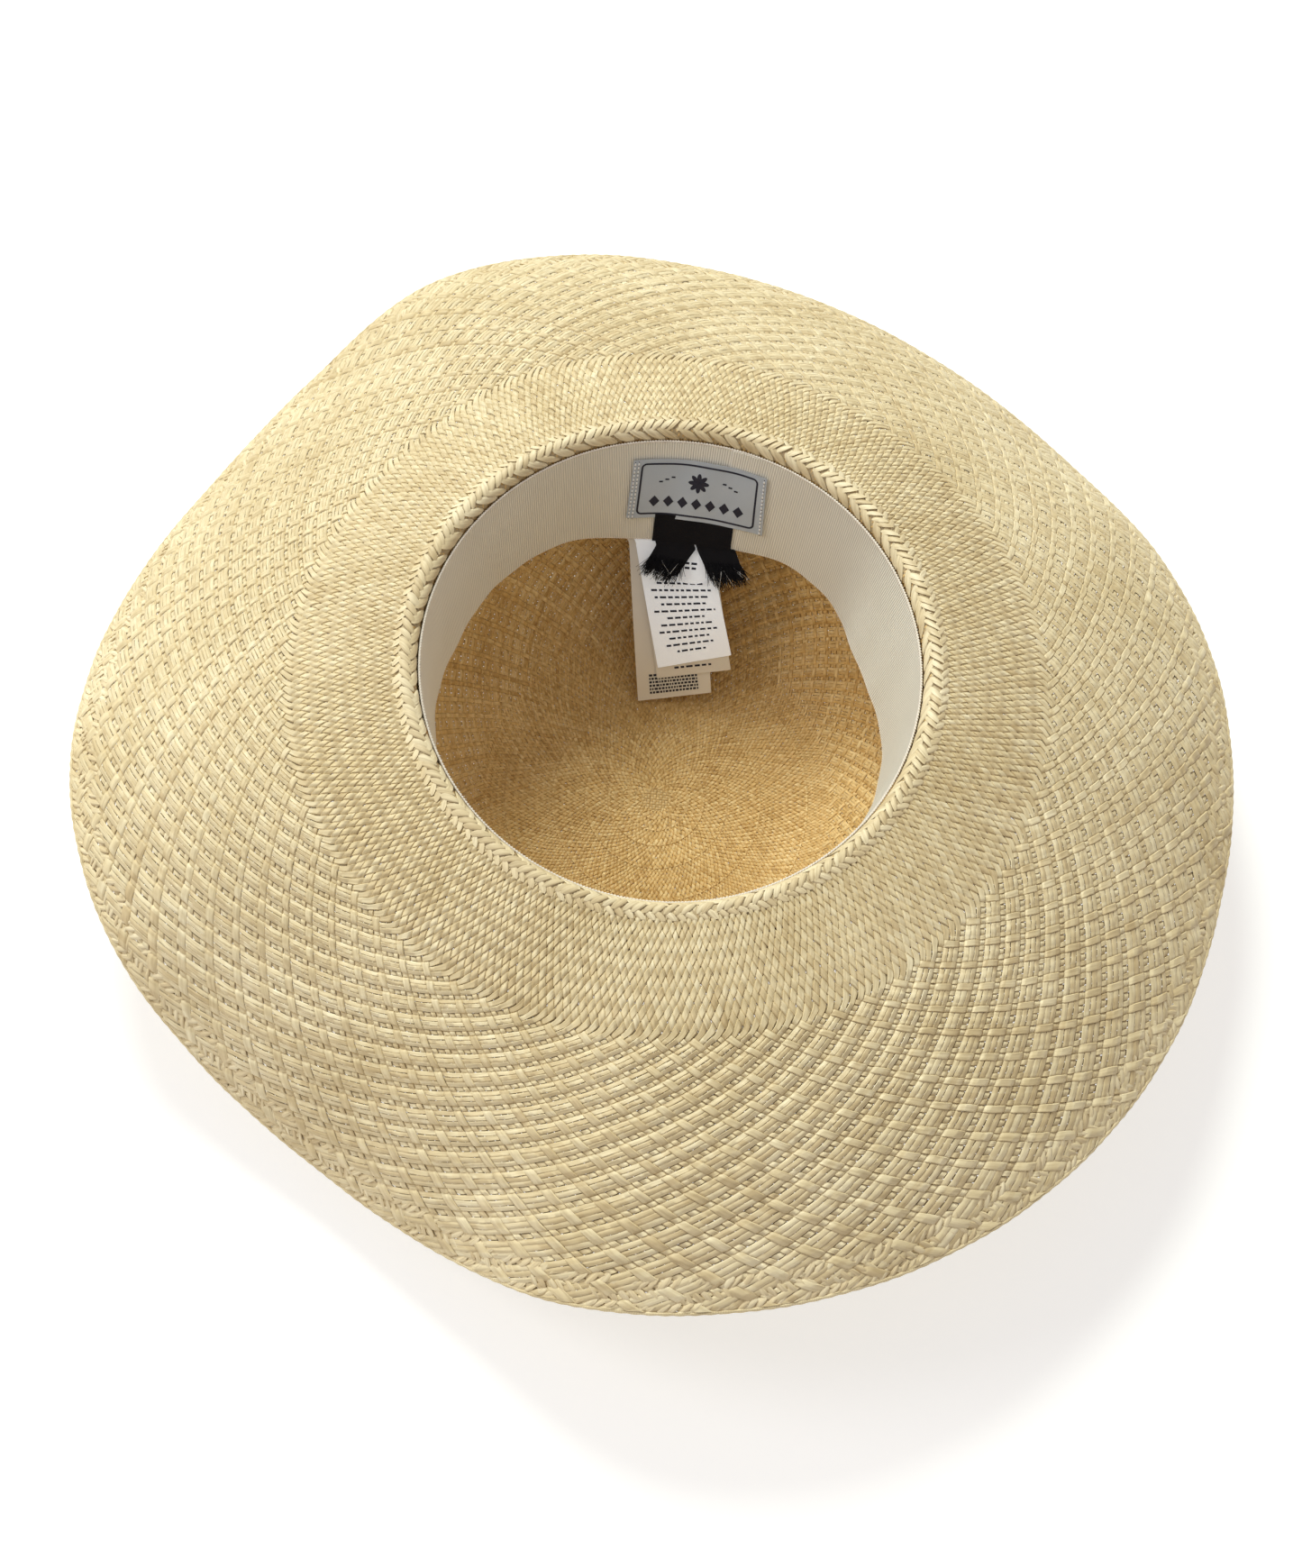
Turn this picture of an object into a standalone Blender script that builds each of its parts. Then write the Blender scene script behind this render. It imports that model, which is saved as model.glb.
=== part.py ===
"""Wide-brimmed panama hat, resting on the tip of its crown with the head opening upwards.

Metres, +Z up. The origin is the centre of the crown tip's flat outer face. +Y is the back of the hat, where the
label is sewn, and +X is the right of someone who looks at the label from the front. The straw is one section
that runs out from the tip: crown, raised chevron row round the head opening, brim and back-woven border.
"""

import math

import bmesh
import bpy
from mathutils import Vector

GAP = 0.0003  # clearance between pieces that touch
SEGMENTS = 72  # facets round the hat

# Head opening: the oval where the sweatband meets the straw
OPENING_HALF_X = 0.0843
OPENING_HALF_Y = 0.0953
OPENING_HEIGHT = 0.090
OPENING_RADIUS = (OPENING_HALF_X + OPENING_HALF_Y) / 2

# Straw
STRAW = 0.0018
WALL_LEAN = math.radians(3.5)  # the crown's wall leans out by this, from tip to opening
CORNER_RADIUS = 0.042
CHEVRON_RADIUS = 0.005
CHEVRON_RAISE = 0.0007
BRIM_WIDTH = 0.122
BORDER_WIDTH = 0.0115
# Fall of the brim's chord in degrees, every 15 degrees from +X through the back (+Y)
BRIM_DROOP = (24, 22.5, 23, 25, 24, 21.5, 18.5, 15.5, 15.5, 23, 26.5, 25.5,
              23, 21.5, 25.5, 35, 39.5, 35, 23, 20, 21, 23, 24.5, 25.5)
BREAK_SHARE = 0.5  # slope at the break over the chord's fall; the edge is steeper by the same amount

# Ribbon sweatband
BAND_WIDTH = 0.040
BAND_THICKNESS = 0.0006
# Lean away from the vertical in degrees, at the same places as BRIM_DROOP
BAND_LEAN = (10, 15, 16, 10, 10, 19, 22, 18, 8, 5.5, 5.5, 5.5,
             6, 6.5, 7, 8, 9, 9, 9, 10, 11, 12, 12, 11)
THREAD = 0.0004

# Label, on the sweatband at the back
LABEL_ANGLE = math.radians(87.5)
LABEL_WIDTH = 0.0495
LABEL_TOP = 0.0065  # down the band from its upper edge
LABEL_HEIGHT = 0.024
LABEL_THICKNESS = 0.0004
LABEL_GAP = 0.0005  # clears the band's facets
TAPE_WIDTH = 0.0145
TAPE_THICKNESS = 0.0005
TAPE_LENGTH = 0.015
TAPE_SPREAD = 17

# Flaps that hang from the sweatband's lower edge, each turning about its own line along X. The lines are
# stacked down and back, so that each flap clears the next one all the way up.
FLAP_START = 0.0012
TAPE_AXIS = Vector((0.005, 0.0784, 0.0522))
TAG_AXIS = Vector((0.004, 0.0788, 0.0513))
LEAF_AXIS = Vector((-0.0055, 0.0791, 0.0505))  # the front care leaf's
LEAF_STEP = Vector((0, 0.0004, -0.0007))  # from each leaf's line to that of the leaf behind it
LEAF_WIDTH = 0.032
LEAF_THICKNESS = 0.0003
LEAF_BOW = 0.003
ROOT_LENGTH = 0.010

# Outer hatband
HATBAND_TOP = 0.082
HATBAND_WIDTH = 0.026
HATBAND_THICKNESS = 0.0008
KEEPER_ANGLE = math.pi
KEEPER_WIDTH = 0.014
HATBAND_END_LENGTH = 0.034
HATBAND_END_SPREAD = math.radians(3)

STRAW_LIGHT = (0.82, 0.70, 0.46)
STRAW_DEEP = (0.70, 0.53, 0.29)


def clear_scene():
    for item in list(bpy.data.objects):
        bpy.data.objects.remove(item, do_unlink=True)


def make_material(name, colour, roughness):
    material = bpy.data.materials.new(name)
    material.use_nodes = True
    shader = material.node_tree.nodes["Principled BSDF"]
    shader.inputs["Base Color"].default_value = (*colour, 1.0)
    shader.inputs["Roughness"].default_value = roughness
    shader.inputs["Metallic"].default_value = 0.0
    return material


def angles(count=SEGMENTS):
    return [math.tau * step / count for step in range(count)]


def around(values, theta):
    """Smooth closed curve through values evenly spaced round the hat (Catmull-Rom)."""
    place = (theta % math.tau) / math.tau * len(values)
    first = int(place)
    t = place - first
    before, start, end, after = (values[(first + step) % len(values)] for step in (-1, 0, 1, 2))
    bend = 2 * before - 5 * start + 4 * end - after
    twist = 3 * start - before - 3 * end + after
    return start + 0.5 * t * (end - before + t * (bend + t * twist))


def opening_point(theta):
    return Vector((OPENING_HALF_X * math.cos(theta), OPENING_HALF_Y * math.sin(theta), OPENING_HEIGHT))


def outward(theta):
    """Horizontal normal of the opening's oval."""
    return Vector((OPENING_HALF_Y * math.cos(theta), OPENING_HALF_X * math.sin(theta), 0)).normalized()


def object_from_rings(name, rings, material, closed):
    """One solid skinned over rings of points: closed joins the last ring to the first, else both ends are capped."""
    mesh = bmesh.new()
    loops = [[mesh.verts.new(point) for point in ring] for ring in rings]
    pairs = list(zip(loops, loops[1:] + loops[:1])) if closed else list(zip(loops, loops[1:]))
    for near, far in pairs:
        for step in range(len(near)):
            after = (step + 1) % len(near)
            mesh.faces.new((near[step], far[step], far[after], near[after]))
    if not closed:
        mesh.faces.new(loops[0])
        mesh.faces.new(reversed(loops[-1]))
    bmesh.ops.recalc_face_normals(mesh, faces=mesh.faces)
    return link_mesh(name, mesh, material)


def link_mesh(name, mesh, material):
    data = bpy.data.meshes.new(name)
    mesh.to_mesh(data)
    mesh.free()
    data.shade_smooth()
    data.set_sharp_from_angle(angle=math.radians(40))
    data.materials.append(material)
    item = bpy.data.objects.new(name, data)
    bpy.context.scene.collection.objects.link(item)
    return item


def crown_section():
    """Inner face of the crown as (radius, height, normal angle), from the tip's flat to the wall's upper end."""
    wall_top = OPENING_HEIGHT - GAP
    centre_height = STRAW + CORNER_RADIUS
    arc_end = centre_height - CORNER_RADIUS * math.sin(WALL_LEAN)
    flat = OPENING_RADIUS - (OPENING_HEIGHT - arc_end) * math.tan(WALL_LEAN) - CORNER_RADIUS * math.cos(WALL_LEAN)
    corner_steps = 8
    wall_steps = 3
    points = []
    for step in range(corner_steps + 1):
        angle = -math.pi / 2 + (math.pi / 2 - WALL_LEAN) * step / corner_steps
        radius = flat + CORNER_RADIUS * math.cos(angle)
        points.append((radius, centre_height + CORNER_RADIUS * math.sin(angle), angle))
    corner_radius, corner_height, wall_angle = points[-1]
    for step in range(1, wall_steps + 1):
        height = corner_height + (wall_top - corner_height) * step / wall_steps
        points.append((corner_radius + (height - corner_height) * math.tan(WALL_LEAN), height, wall_angle))
    return points


def crown_ring(radius, height, count=SEGMENTS):
    """Oval ring whose proportions are the opening's."""
    wide = radius * OPENING_HALF_X / OPENING_RADIUS
    long = radius * OPENING_HALF_Y / OPENING_RADIUS
    return [Vector((wide * math.cos(a), long * math.sin(a), height)) for a in angles(count)]


def offset_crown_ring(station, offset, count=SEGMENTS):
    """Crown ring moved out from the inner face by offset, along the section's normal."""
    radius, height, angle = station
    return crown_ring(radius + offset * math.cos(angle), height + offset * math.sin(angle), count)


def build_crown(material):
    stations = crown_section()
    inner = [offset_crown_ring(station, 0) for station in stations]
    outer = [offset_crown_ring(station, STRAW) for station in reversed(stations)]
    return object_from_rings("crown", inner + outer, material, closed=False)


def break_slope(theta):
    return BREAK_SHARE * math.radians(around(BRIM_DROOP, theta))


def chevron_offset(theta, share, depth):
    """(out, up) from the opening's oval on the rounded row, `depth` under its upper face."""
    start = math.pi / 2 - WALL_LEAN
    heading = start - (start + break_slope(theta)) * share
    radius = CHEVRON_RADIUS
    out = radius * (math.sin(start) - math.sin(heading)) + depth * math.sin(heading)
    up = radius * (math.cos(heading) - math.cos(start)) - depth * math.cos(heading)
    return out, up


def brim_offset(theta, distance, depth):
    """(out, up) from the opening's oval, at a distance along the brim's section and `depth` under its face."""
    near_out, near_up = chevron_offset(theta, 1, 0)
    first = break_slope(theta)
    last = 2 * math.radians(around(BRIM_DROOP, theta)) - first
    bend = (last - first) / BRIM_WIDTH
    slope = first + bend * distance
    out = near_out + (math.sin(slope) - math.sin(first)) / bend - depth * math.sin(slope)
    up = near_up - (math.cos(first) - math.cos(slope)) / bend - depth * math.cos(slope)
    return out, up


def straw_ring(offset_at, place, depth):
    """Ring of points round the opening; offset_at gives (out, up) at each angle."""
    ring = []
    for theta in angles():
        out, up = offset_at(theta, place, depth)
        ring.append(opening_point(theta) + outward(theta) * out + Vector((0, 0, up)))
    return ring


def straw_band(name, offset_at, places, material, raise_at=lambda place: 0.0):
    """Closed band of straw between two places of the section."""
    upper = [straw_ring(offset_at, place, -raise_at(place)) for place in places]
    lower = [straw_ring(offset_at, place, STRAW) for place in reversed(places)]
    return object_from_rings(name, upper + lower, material, closed=True)


def build_chevron_row(material):
    steps = 4
    places = [step / steps for step in range(steps + 1)]
    return straw_band("chevron_row", chevron_offset, places, material,
                      raise_at=lambda share: CHEVRON_RAISE * math.sin(math.pi * share))


def build_brim(material):
    steps = 6
    last = BRIM_WIDTH - BORDER_WIDTH - GAP
    places = [GAP + (last - GAP) * step / steps for step in range(steps + 1)]
    return straw_band("brim", brim_offset, places, material)


def build_brim_border(material):
    steps = 2
    first = BRIM_WIDTH - BORDER_WIDTH
    places = [first + BORDER_WIDTH * step / steps for step in range(steps + 1)]
    return straw_band("brim_border", brim_offset, places, material)


def band_point(theta, down, lift):
    """Point on the sweatband's visible face, `down` from its upper edge and `lift` towards the head."""
    lean = math.radians(around(BAND_LEAN, theta))
    face = opening_point(theta) - outward(theta) * (GAP + BAND_THICKNESS)
    along = outward(theta) * math.sin(lean) + Vector((0, 0, math.cos(lean)))
    normal = Vector((0, 0, math.sin(lean))) - outward(theta) * math.cos(lean)
    return face - along * down + normal * lift


def band_ring(down, lift):
    return [band_point(theta, down, lift) for theta in angles()]


def build_sweatband(material):
    downs = [BAND_WIDTH * step / 3 for step in range(4)]
    face = [band_ring(down, 0) for down in downs]
    back = [band_ring(down, -BAND_THICKNESS) for down in reversed(downs)]
    return object_from_rings("sweatband", face + back, material, closed=True)


def build_sweatband_thread(material):
    down = 0.0016
    corners = ((down, GAP), (down + THREAD, GAP), (down + THREAD, GAP + THREAD), (down, GAP + THREAD))
    rings = [band_ring(*corner) for corner in corners]
    return object_from_rings("sweatband_thread", rings, material, closed=True)


def label_span(width, down, centre=0.0):
    """Angles of a piece that lies along the sweatband, centred `centre` to the right of the label's middle.

    The band leans in, so the same width takes a wider angle further down.
    """
    steps = 8
    curvature = OPENING_HALF_X**2 / OPENING_HALF_Y
    lean = math.radians(around(BAND_LEAN, LABEL_ANGLE))
    radius = OPENING_HALF_X * (1 - down * math.sin(lean) / curvature)
    middle = LABEL_ANGLE - centre / radius
    return [middle + width / radius * (0.5 - step / steps) for step in range(steps + 1)]


def plate_on_band(name, spans, tops, bottoms, near, thickness, material):
    """Thin plate that follows the sweatband's face, from near to near + thickness off it."""
    rings = []
    for theta, top, bottom in zip(spans, tops, bottoms):
        far = near + thickness
        rings.append([band_point(theta, top, near), band_point(theta, bottom, near),
                      band_point(theta, bottom, far), band_point(theta, top, far)])
    return object_from_rings(name, rings, material, closed=False)


def build_label(material):
    spans = label_span(LABEL_WIDTH, LABEL_TOP + LABEL_HEIGHT / 2)
    tops = [LABEL_TOP] * len(spans)
    bottoms = [LABEL_TOP + LABEL_HEIGHT] * len(spans)
    return plate_on_band("label", spans, tops, bottoms, LABEL_GAP, LABEL_THICKNESS, material)


def build_label_thread(name, side, material):
    """Row of stitches down one end of the label."""
    inset = 0.0012
    margin = 0.0008
    spans = label_span(THREAD, LABEL_TOP + LABEL_HEIGHT / 2, side * (LABEL_WIDTH / 2 - inset))
    tops = [LABEL_TOP + margin] * len(spans)
    bottoms = [LABEL_TOP + LABEL_HEIGHT - margin] * len(spans)
    near = LABEL_GAP + LABEL_THICKNESS + GAP
    return plate_on_band(name, spans, tops, bottoms, near, THREAD, material)


def build_tape_fold(material):
    """Tape between the label's lower edge and the sweatband's lower edge, both ends side by side."""
    spans = label_span(2 * TAPE_WIDTH, BAND_WIDTH)
    tops = [LABEL_TOP + LABEL_HEIGHT + GAP] * len(spans)
    bottoms = [BAND_WIDTH - GAP] * len(spans)
    return plate_on_band("tape_fold", spans, tops, bottoms, LABEL_GAP, TAPE_THICKNESS, material)


def flap_offset(right, down, lift, lean):
    """Offset from a flap's axis: right along X, down its length and lift off it towards the head."""
    forward = down * math.sin(lean) + lift * math.cos(lean)
    drop = down * math.cos(lean) - lift * math.sin(lean)
    return Vector((right, -forward, -drop))


def build_flap(name, axis, size, turn, lean, thickness, material, bow=0.0):
    """Thin flap with its origin on its axis. It leans out from the wall, turns to +X and bows to the head."""
    width, length = size
    turn, lean = math.radians(turn), math.radians(lean)
    rows = 5
    rings = []
    for row in range(rows + 1):
        share = row / rows
        corners = []
        for side, lift in ((-0.5, 0), (0.5, 0), (0.5, thickness), (-0.5, thickness)):
            top = Vector((side * width, FLAP_START))
            bottom = Vector((side * width * math.cos(turn) + length * math.sin(turn),
                             length * math.cos(turn) - side * width * math.sin(turn)))
            place = top.lerp(bottom, share)
            corners.append(flap_offset(place.x, place.y, lift + bow * math.sin(math.pi * share), lean))
        rings.append(corners)
    item = object_from_rings(name, rings, material, closed=False)
    item.location = axis
    return item


def build_care_leaves(material):
    """Three leaves, the longest at the back."""
    leaves = (("care_leaf_front", 0.044, 16, 42, 0.0), ("care_leaf_middle", 0.0485, 13, 40.5, 0.0015),
              ("care_leaf_back", 0.0575, 13, 39, -0.0025))
    for place, (name, length, turn, lean, shift) in enumerate(leaves):
        axis = LEAF_AXIS + place * LEAF_STEP + Vector((shift, 0, 0))
        build_flap(name, axis, (LEAF_WIDTH, length), turn, lean, LEAF_THICKNESS, material, bow=LEAF_BOW)


def build_care_root(material):
    """Sewn-down upper part of the care leaves, between the sweatband and the straw."""
    spans = label_span(LEAF_WIDTH, BAND_WIDTH, -0.008)
    tops = [BAND_WIDTH - ROOT_LENGTH] * len(spans)
    bottoms = [BAND_WIDTH - GAP] * len(spans)
    thickness = 3 * LEAF_THICKNESS
    near = -BAND_THICKNESS - LABEL_GAP - thickness
    return plate_on_band("care_root", spans, tops, bottoms, near, thickness, material)


def build_size_tag(material):
    build_flap("size_tag", TAG_AXIS, (0.012, 0.0135), 0, 54, LEAF_THICKNESS, material)


def build_tape_tails(material):
    for name, side in (("tape_tail_left", -1), ("tape_tail_right", 1)):
        axis = TAPE_AXIS + Vector((side * (TAPE_WIDTH / 2 + GAP), 0, 0))
        build_flap(name, axis, (TAPE_WIDTH, TAPE_LENGTH), side * TAPE_SPREAD, 60, TAPE_THICKNESS, material)


def hatband_rings(top, width, near, thickness, count=SEGMENTS):
    """Band round the crown's outer face, near to near + thickness off the straw."""
    def station(height):
        drop = OPENING_HEIGHT - height
        return OPENING_RADIUS - drop * math.tan(WALL_LEAN), height, -WALL_LEAN
    inner = STRAW + near
    outer = inner + thickness
    upper, lower = station(top), station(top - width)
    return [offset_crown_ring(upper, inner, count), offset_crown_ring(upper, outer, count),
            offset_crown_ring(lower, outer, count), offset_crown_ring(lower, inner, count)]


def build_hatband(material):
    rings = hatband_rings(HATBAND_TOP, HATBAND_WIDTH, GAP, HATBAND_THICKNESS)
    return object_from_rings("hatband", rings, material, closed=True)


def crown_outside(theta, height, off):
    """Point off the crown's outer face, on the wall."""
    drop = OPENING_HEIGHT - height
    radius = OPENING_RADIUS - drop * math.tan(WALL_LEAN) + STRAW + off
    wide = radius * OPENING_HALF_X / OPENING_RADIUS
    long = radius * OPENING_HALF_Y / OPENING_RADIUS
    return Vector((wide * math.cos(theta), long * math.sin(theta), height))


def plate_outside(name, corners, near, thickness, material):
    """Plate that follows the crown's outer wall: corners are (angle, upper height, lower height) stations."""
    rings = []
    for theta, upper, lower in corners:
        far = near + thickness
        rings.append([crown_outside(theta, upper, near), crown_outside(theta, lower, near),
                      crown_outside(theta, lower, far), crown_outside(theta, upper, far)])
    return object_from_rings(name, rings, material, closed=False)


def build_hatband_keeper(material):
    """Narrow loop of tape that holds the hatband's two ends."""
    steps = 4
    spread = KEEPER_WIDTH / OPENING_HALF_Y
    overhang = 0.0012
    lower = HATBAND_TOP - HATBAND_WIDTH
    corners = [(KEEPER_ANGLE + spread * (step / steps - 0.5), HATBAND_TOP + overhang, lower - overhang)
               for step in range(steps + 1)]
    near = 3 * GAP + 2 * HATBAND_THICKNESS
    return plate_outside("hatband_keeper", corners, near, 0.0016, material)


def build_hatband_ends(material):
    """Two frayed ends that leave the keeper towards the back, one above the other."""
    steps = 6
    middle = HATBAND_TOP - HATBAND_WIDTH / 2
    half = HATBAND_WIDTH * 0.26
    for name, side in (("hatband_end_upper", 1), ("hatband_end_lower", -1)):
        corners = []
        for step in range(steps + 1):
            run = HATBAND_END_LENGTH * step / steps
            height = middle + side * (half + GAP + run * math.tan(HATBAND_END_SPREAD))
            theta = KEEPER_ANGLE - (KEEPER_WIDTH * 0.3 + run) / OPENING_HALF_Y
            corners.append((theta, height + half - GAP, height - half + GAP))
        plate_outside(name, corners, 2 * GAP + HATBAND_THICKNESS, HATBAND_THICKNESS, material)


def build_straw():
    light = make_material("straw_brim", STRAW_LIGHT, 0.62)
    deep = make_material("straw_crown", STRAW_DEEP, 0.66)
    build_crown(deep)
    build_chevron_row(light)
    build_brim(light)
    build_brim_border(light)


def build_lining():
    ribbon = make_material("ribbon_cream", (0.86, 0.82, 0.71), 0.7)
    thread = make_material("thread_white", (0.88, 0.87, 0.83), 0.6)
    satin = make_material("satin_white", (0.84, 0.85, 0.87), 0.4)
    tape = make_material("tape_black", (0.012, 0.012, 0.014), 0.85)
    build_sweatband(ribbon)
    build_sweatband_thread(thread)
    build_label(satin)
    build_label_thread("label_thread_left", -1, thread)
    build_label_thread("label_thread_right", 1, thread)
    build_tape_fold(tape)
    build_tape_tails(tape)
    build_size_tag(satin)
    build_care_root(satin)
    build_care_leaves(satin)


def build_trim():
    band = make_material("hatband_black", (0.014, 0.014, 0.016), 0.8)
    build_hatband(band)
    build_hatband_keeper(band)
    build_hatband_ends(band)


def main():
    clear_scene()
    build_straw()
    build_lining()
    build_trim()


main()
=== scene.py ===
"""Looks of the panama hat: woven straw, ribbon lining, label, care leaves and outer band.

Metres, in the frame's own axes: +Z up out of the head opening, +Y the back, where the label is sewn.
A place on the straw is (distance, theta, lift): distance outward along its section from the outer edge
of the chevron row round the opening, negative into the crown, and lift off its middle surface towards
the head's side.
"""

import math

import bpy
import numpy as np
from mathutils import Matrix, Vector


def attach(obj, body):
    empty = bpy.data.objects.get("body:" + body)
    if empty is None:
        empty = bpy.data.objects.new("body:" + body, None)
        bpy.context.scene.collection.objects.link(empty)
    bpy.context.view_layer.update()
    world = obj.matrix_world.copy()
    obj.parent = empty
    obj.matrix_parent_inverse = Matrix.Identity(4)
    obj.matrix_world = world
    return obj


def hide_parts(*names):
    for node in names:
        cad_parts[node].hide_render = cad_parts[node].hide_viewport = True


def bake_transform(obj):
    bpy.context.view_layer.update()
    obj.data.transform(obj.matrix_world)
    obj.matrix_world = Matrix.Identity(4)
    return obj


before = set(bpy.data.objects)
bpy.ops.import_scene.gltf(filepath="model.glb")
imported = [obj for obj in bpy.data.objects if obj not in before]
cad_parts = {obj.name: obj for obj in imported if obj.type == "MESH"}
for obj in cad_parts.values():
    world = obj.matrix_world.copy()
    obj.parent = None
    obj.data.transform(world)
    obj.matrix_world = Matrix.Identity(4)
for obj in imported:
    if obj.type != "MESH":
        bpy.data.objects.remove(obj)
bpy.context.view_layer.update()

TAU = math.tau
MM = 0.001
UP = np.array((0.0, 0.0, 1.0))

# Straw: the frame's own section
OPENING_HALF_X = 0.0843
OPENING_HALF_Y = 0.0953
OPENING_HEIGHT = 0.090
OPENING_RADIUS = (OPENING_HALF_X + OPENING_HALF_Y) / 2
STRAW = 0.0018
WALL_LEAN = math.radians(3.5)
CORNER_RADIUS = 0.042
CORNER_HEIGHT = STRAW + CORNER_RADIUS
CHEVRON_RADIUS = 0.005
CHEVRON_RUN = 0.0086
BRIM_WIDTH = 0.122
BORDER_WIDTH = 0.0115
BRIM_DROOP = (24, 22.5, 23, 25, 24, 21.5, 18.5, 15.5, 15.5, 23, 26.5, 25.5,
              23, 21.5, 25.5, 35, 39.5, 35, 23, 20, 21, 23, 24.5, 25.5)
BREAK_SHARE = 0.5
WALL_RUN = (OPENING_HEIGHT - CORNER_HEIGHT + CORNER_RADIUS * math.sin(WALL_LEAN)) / math.cos(WALL_LEAN)
CORNER_RUN = CORNER_RADIUS * (math.pi / 2 - WALL_LEAN)
FLOOR_RADIUS = OPENING_RADIUS - WALL_RUN * math.sin(WALL_LEAN) - CORNER_RADIUS * math.cos(WALL_LEAN)

# Weave: the two families of strands, and how far each leans off the radius, in degrees by distance
STRANDS = 300
LEAN_PLACES = (-0.134, -0.100, -0.096, -0.030, -0.026, 0.0, 0.036, 0.041, 0.060, 0.122)
LEAN_CLOCKWISE = (34, 30, 46, 46, 30, 26, 26, 56, 60, 61)
LEAN_COUNTER = (30, 26, 36, 36, 24, 21, 21, 48, 51, 51)
COARSE_START = 0.0385
CROWN_COARSE = (-0.097, -0.028)
SWEEP_START = 0.041
SWEEP_LENGTH = 0.081
SWEEP_CLOCKWISE = (0.24, math.radians(195))  # turn added at the edge, and round the hat where it is largest
SWEEP_COUNTER = (0.12, math.radians(325))
RISE = 0.36 * MM  # how far a strand rises over the ones it crosses
DOMED = 0.36 * MM  # how far a strand is domed across its width
CRISP = 1.6  # how abruptly a strand rises and dips between two crossings
BAND_RISE = 0.42 * MM  # how far three strands side by side are domed as one band

# Sweatband, label and flaps: the frame's own places
GAP = 0.0003
BAND_WIDTH = 0.040
BAND_THICKNESS = 0.0006
BAND_LEAN = (10, 15, 16, 10, 10, 19, 22, 18, 8, 5.5, 5.5, 5.5,
             6, 6.5, 7, 8, 9, 9, 9, 10, 11, 12, 12, 11)
LABEL_ANGLE = math.radians(87.5)
LABEL_WIDTH = 0.0495
LABEL_TOP = 0.0065
LABEL_HEIGHT = 0.024
LABEL_LIFT = 0.0007
TAPE_WIDTH = 0.0145
TAPE_LENGTH = 0.015
TAPE_SPREAD = 17
FLAP_START = 0.0012
FLAP_SEAM = 0.004  # how far a flap rises from its crease to its seam
TAPE_AXIS = (0.005, 0.0784, 0.0522)
TAG_AXIS = (0.004, 0.0788, 0.0513)
LEAF_AXIS = (-0.0055, 0.0791, 0.0505)
LEAF_STEP = (0, 0.0004, -0.0007)
LEAF_WIDTH = 0.032
LEAF_CLOTH = 0.0276  # the leaves' own width, within the room kept for them
LEAF_BOW = 0.003

# Outer hatband
HATBAND_TOP = 0.082
HATBAND_WIDTH = 0.026
KEEPER_WIDTH = 0.014
HATBAND_END_LENGTH = 0.034
HATBAND_END_SPREAD = math.radians(3)


def chance(seed):
    return np.random.default_rng(seed)


# ---------------------------------------------------------------- surfaces

def around(values, theta):
    """Smooth closed curve through values evenly spaced round the hat (Catmull-Rom)."""
    values = np.asarray(values, float)
    place = (theta % TAU) / TAU * len(values)
    first = np.floor(place).astype(int)
    t = place - first
    before, start, end, after = (values[(first + step) % len(values)] for step in (-1, 0, 1, 2))
    bend = 2 * before - 5 * start + 4 * end - after
    twist = 3 * start - before - 3 * end + after
    return start + 0.5 * t * (end - before + t * (bend + t * twist))


def opening_point(theta):
    return np.stack((OPENING_HALF_X * np.cos(theta), OPENING_HALF_Y * np.sin(theta),
                     np.full_like(theta, OPENING_HEIGHT)), axis=-1)


def oval_point(radius, theta, height):
    """Point on an oval of the opening's proportions, by its mean radius."""
    return np.stack((radius * OPENING_HALF_X / OPENING_RADIUS * np.cos(theta),
                     radius * OPENING_HALF_Y / OPENING_RADIUS * np.sin(theta), height), axis=-1)


def outward(theta):
    """Direction straight out of the opening's oval."""
    normal = np.stack((OPENING_HALF_Y * np.cos(theta), OPENING_HALF_X * np.sin(theta), 0 * theta), axis=-1)
    return normal / np.linalg.norm(normal, axis=-1, keepdims=True)


def brim_offsets(distance, droop, depth):
    """(out, up) from the opening's oval, outside the chevron row."""
    start = math.pi / 2 - WALL_LEAN
    first = BREAK_SHARE * droop
    bend = 2 * (droop - first) / BRIM_WIDTH
    slope = first + bend * np.maximum(distance, 0)
    out = CHEVRON_RADIUS * (math.sin(start) + np.sin(first)) + (np.sin(slope) - np.sin(first)) / bend
    up = CHEVRON_RADIUS * (np.cos(first) - math.cos(start)) - (np.cos(first) - np.cos(slope)) / bend
    return out - depth * np.sin(slope), up - depth * np.cos(slope)


def chevron_offsets(distance, droop, depth):
    """(out, up) from the opening's oval, on the rounded row."""
    start = math.pi / 2 - WALL_LEAN
    share = np.clip(1 + distance / CHEVRON_RUN, 0, 1)
    heading = start - (start + BREAK_SHARE * droop) * share
    out = CHEVRON_RADIUS * (math.sin(start) - np.sin(heading)) + depth * np.sin(heading)
    up = CHEVRON_RADIUS * (np.cos(heading) - math.cos(start)) - depth * np.cos(heading)
    return out, up


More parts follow.
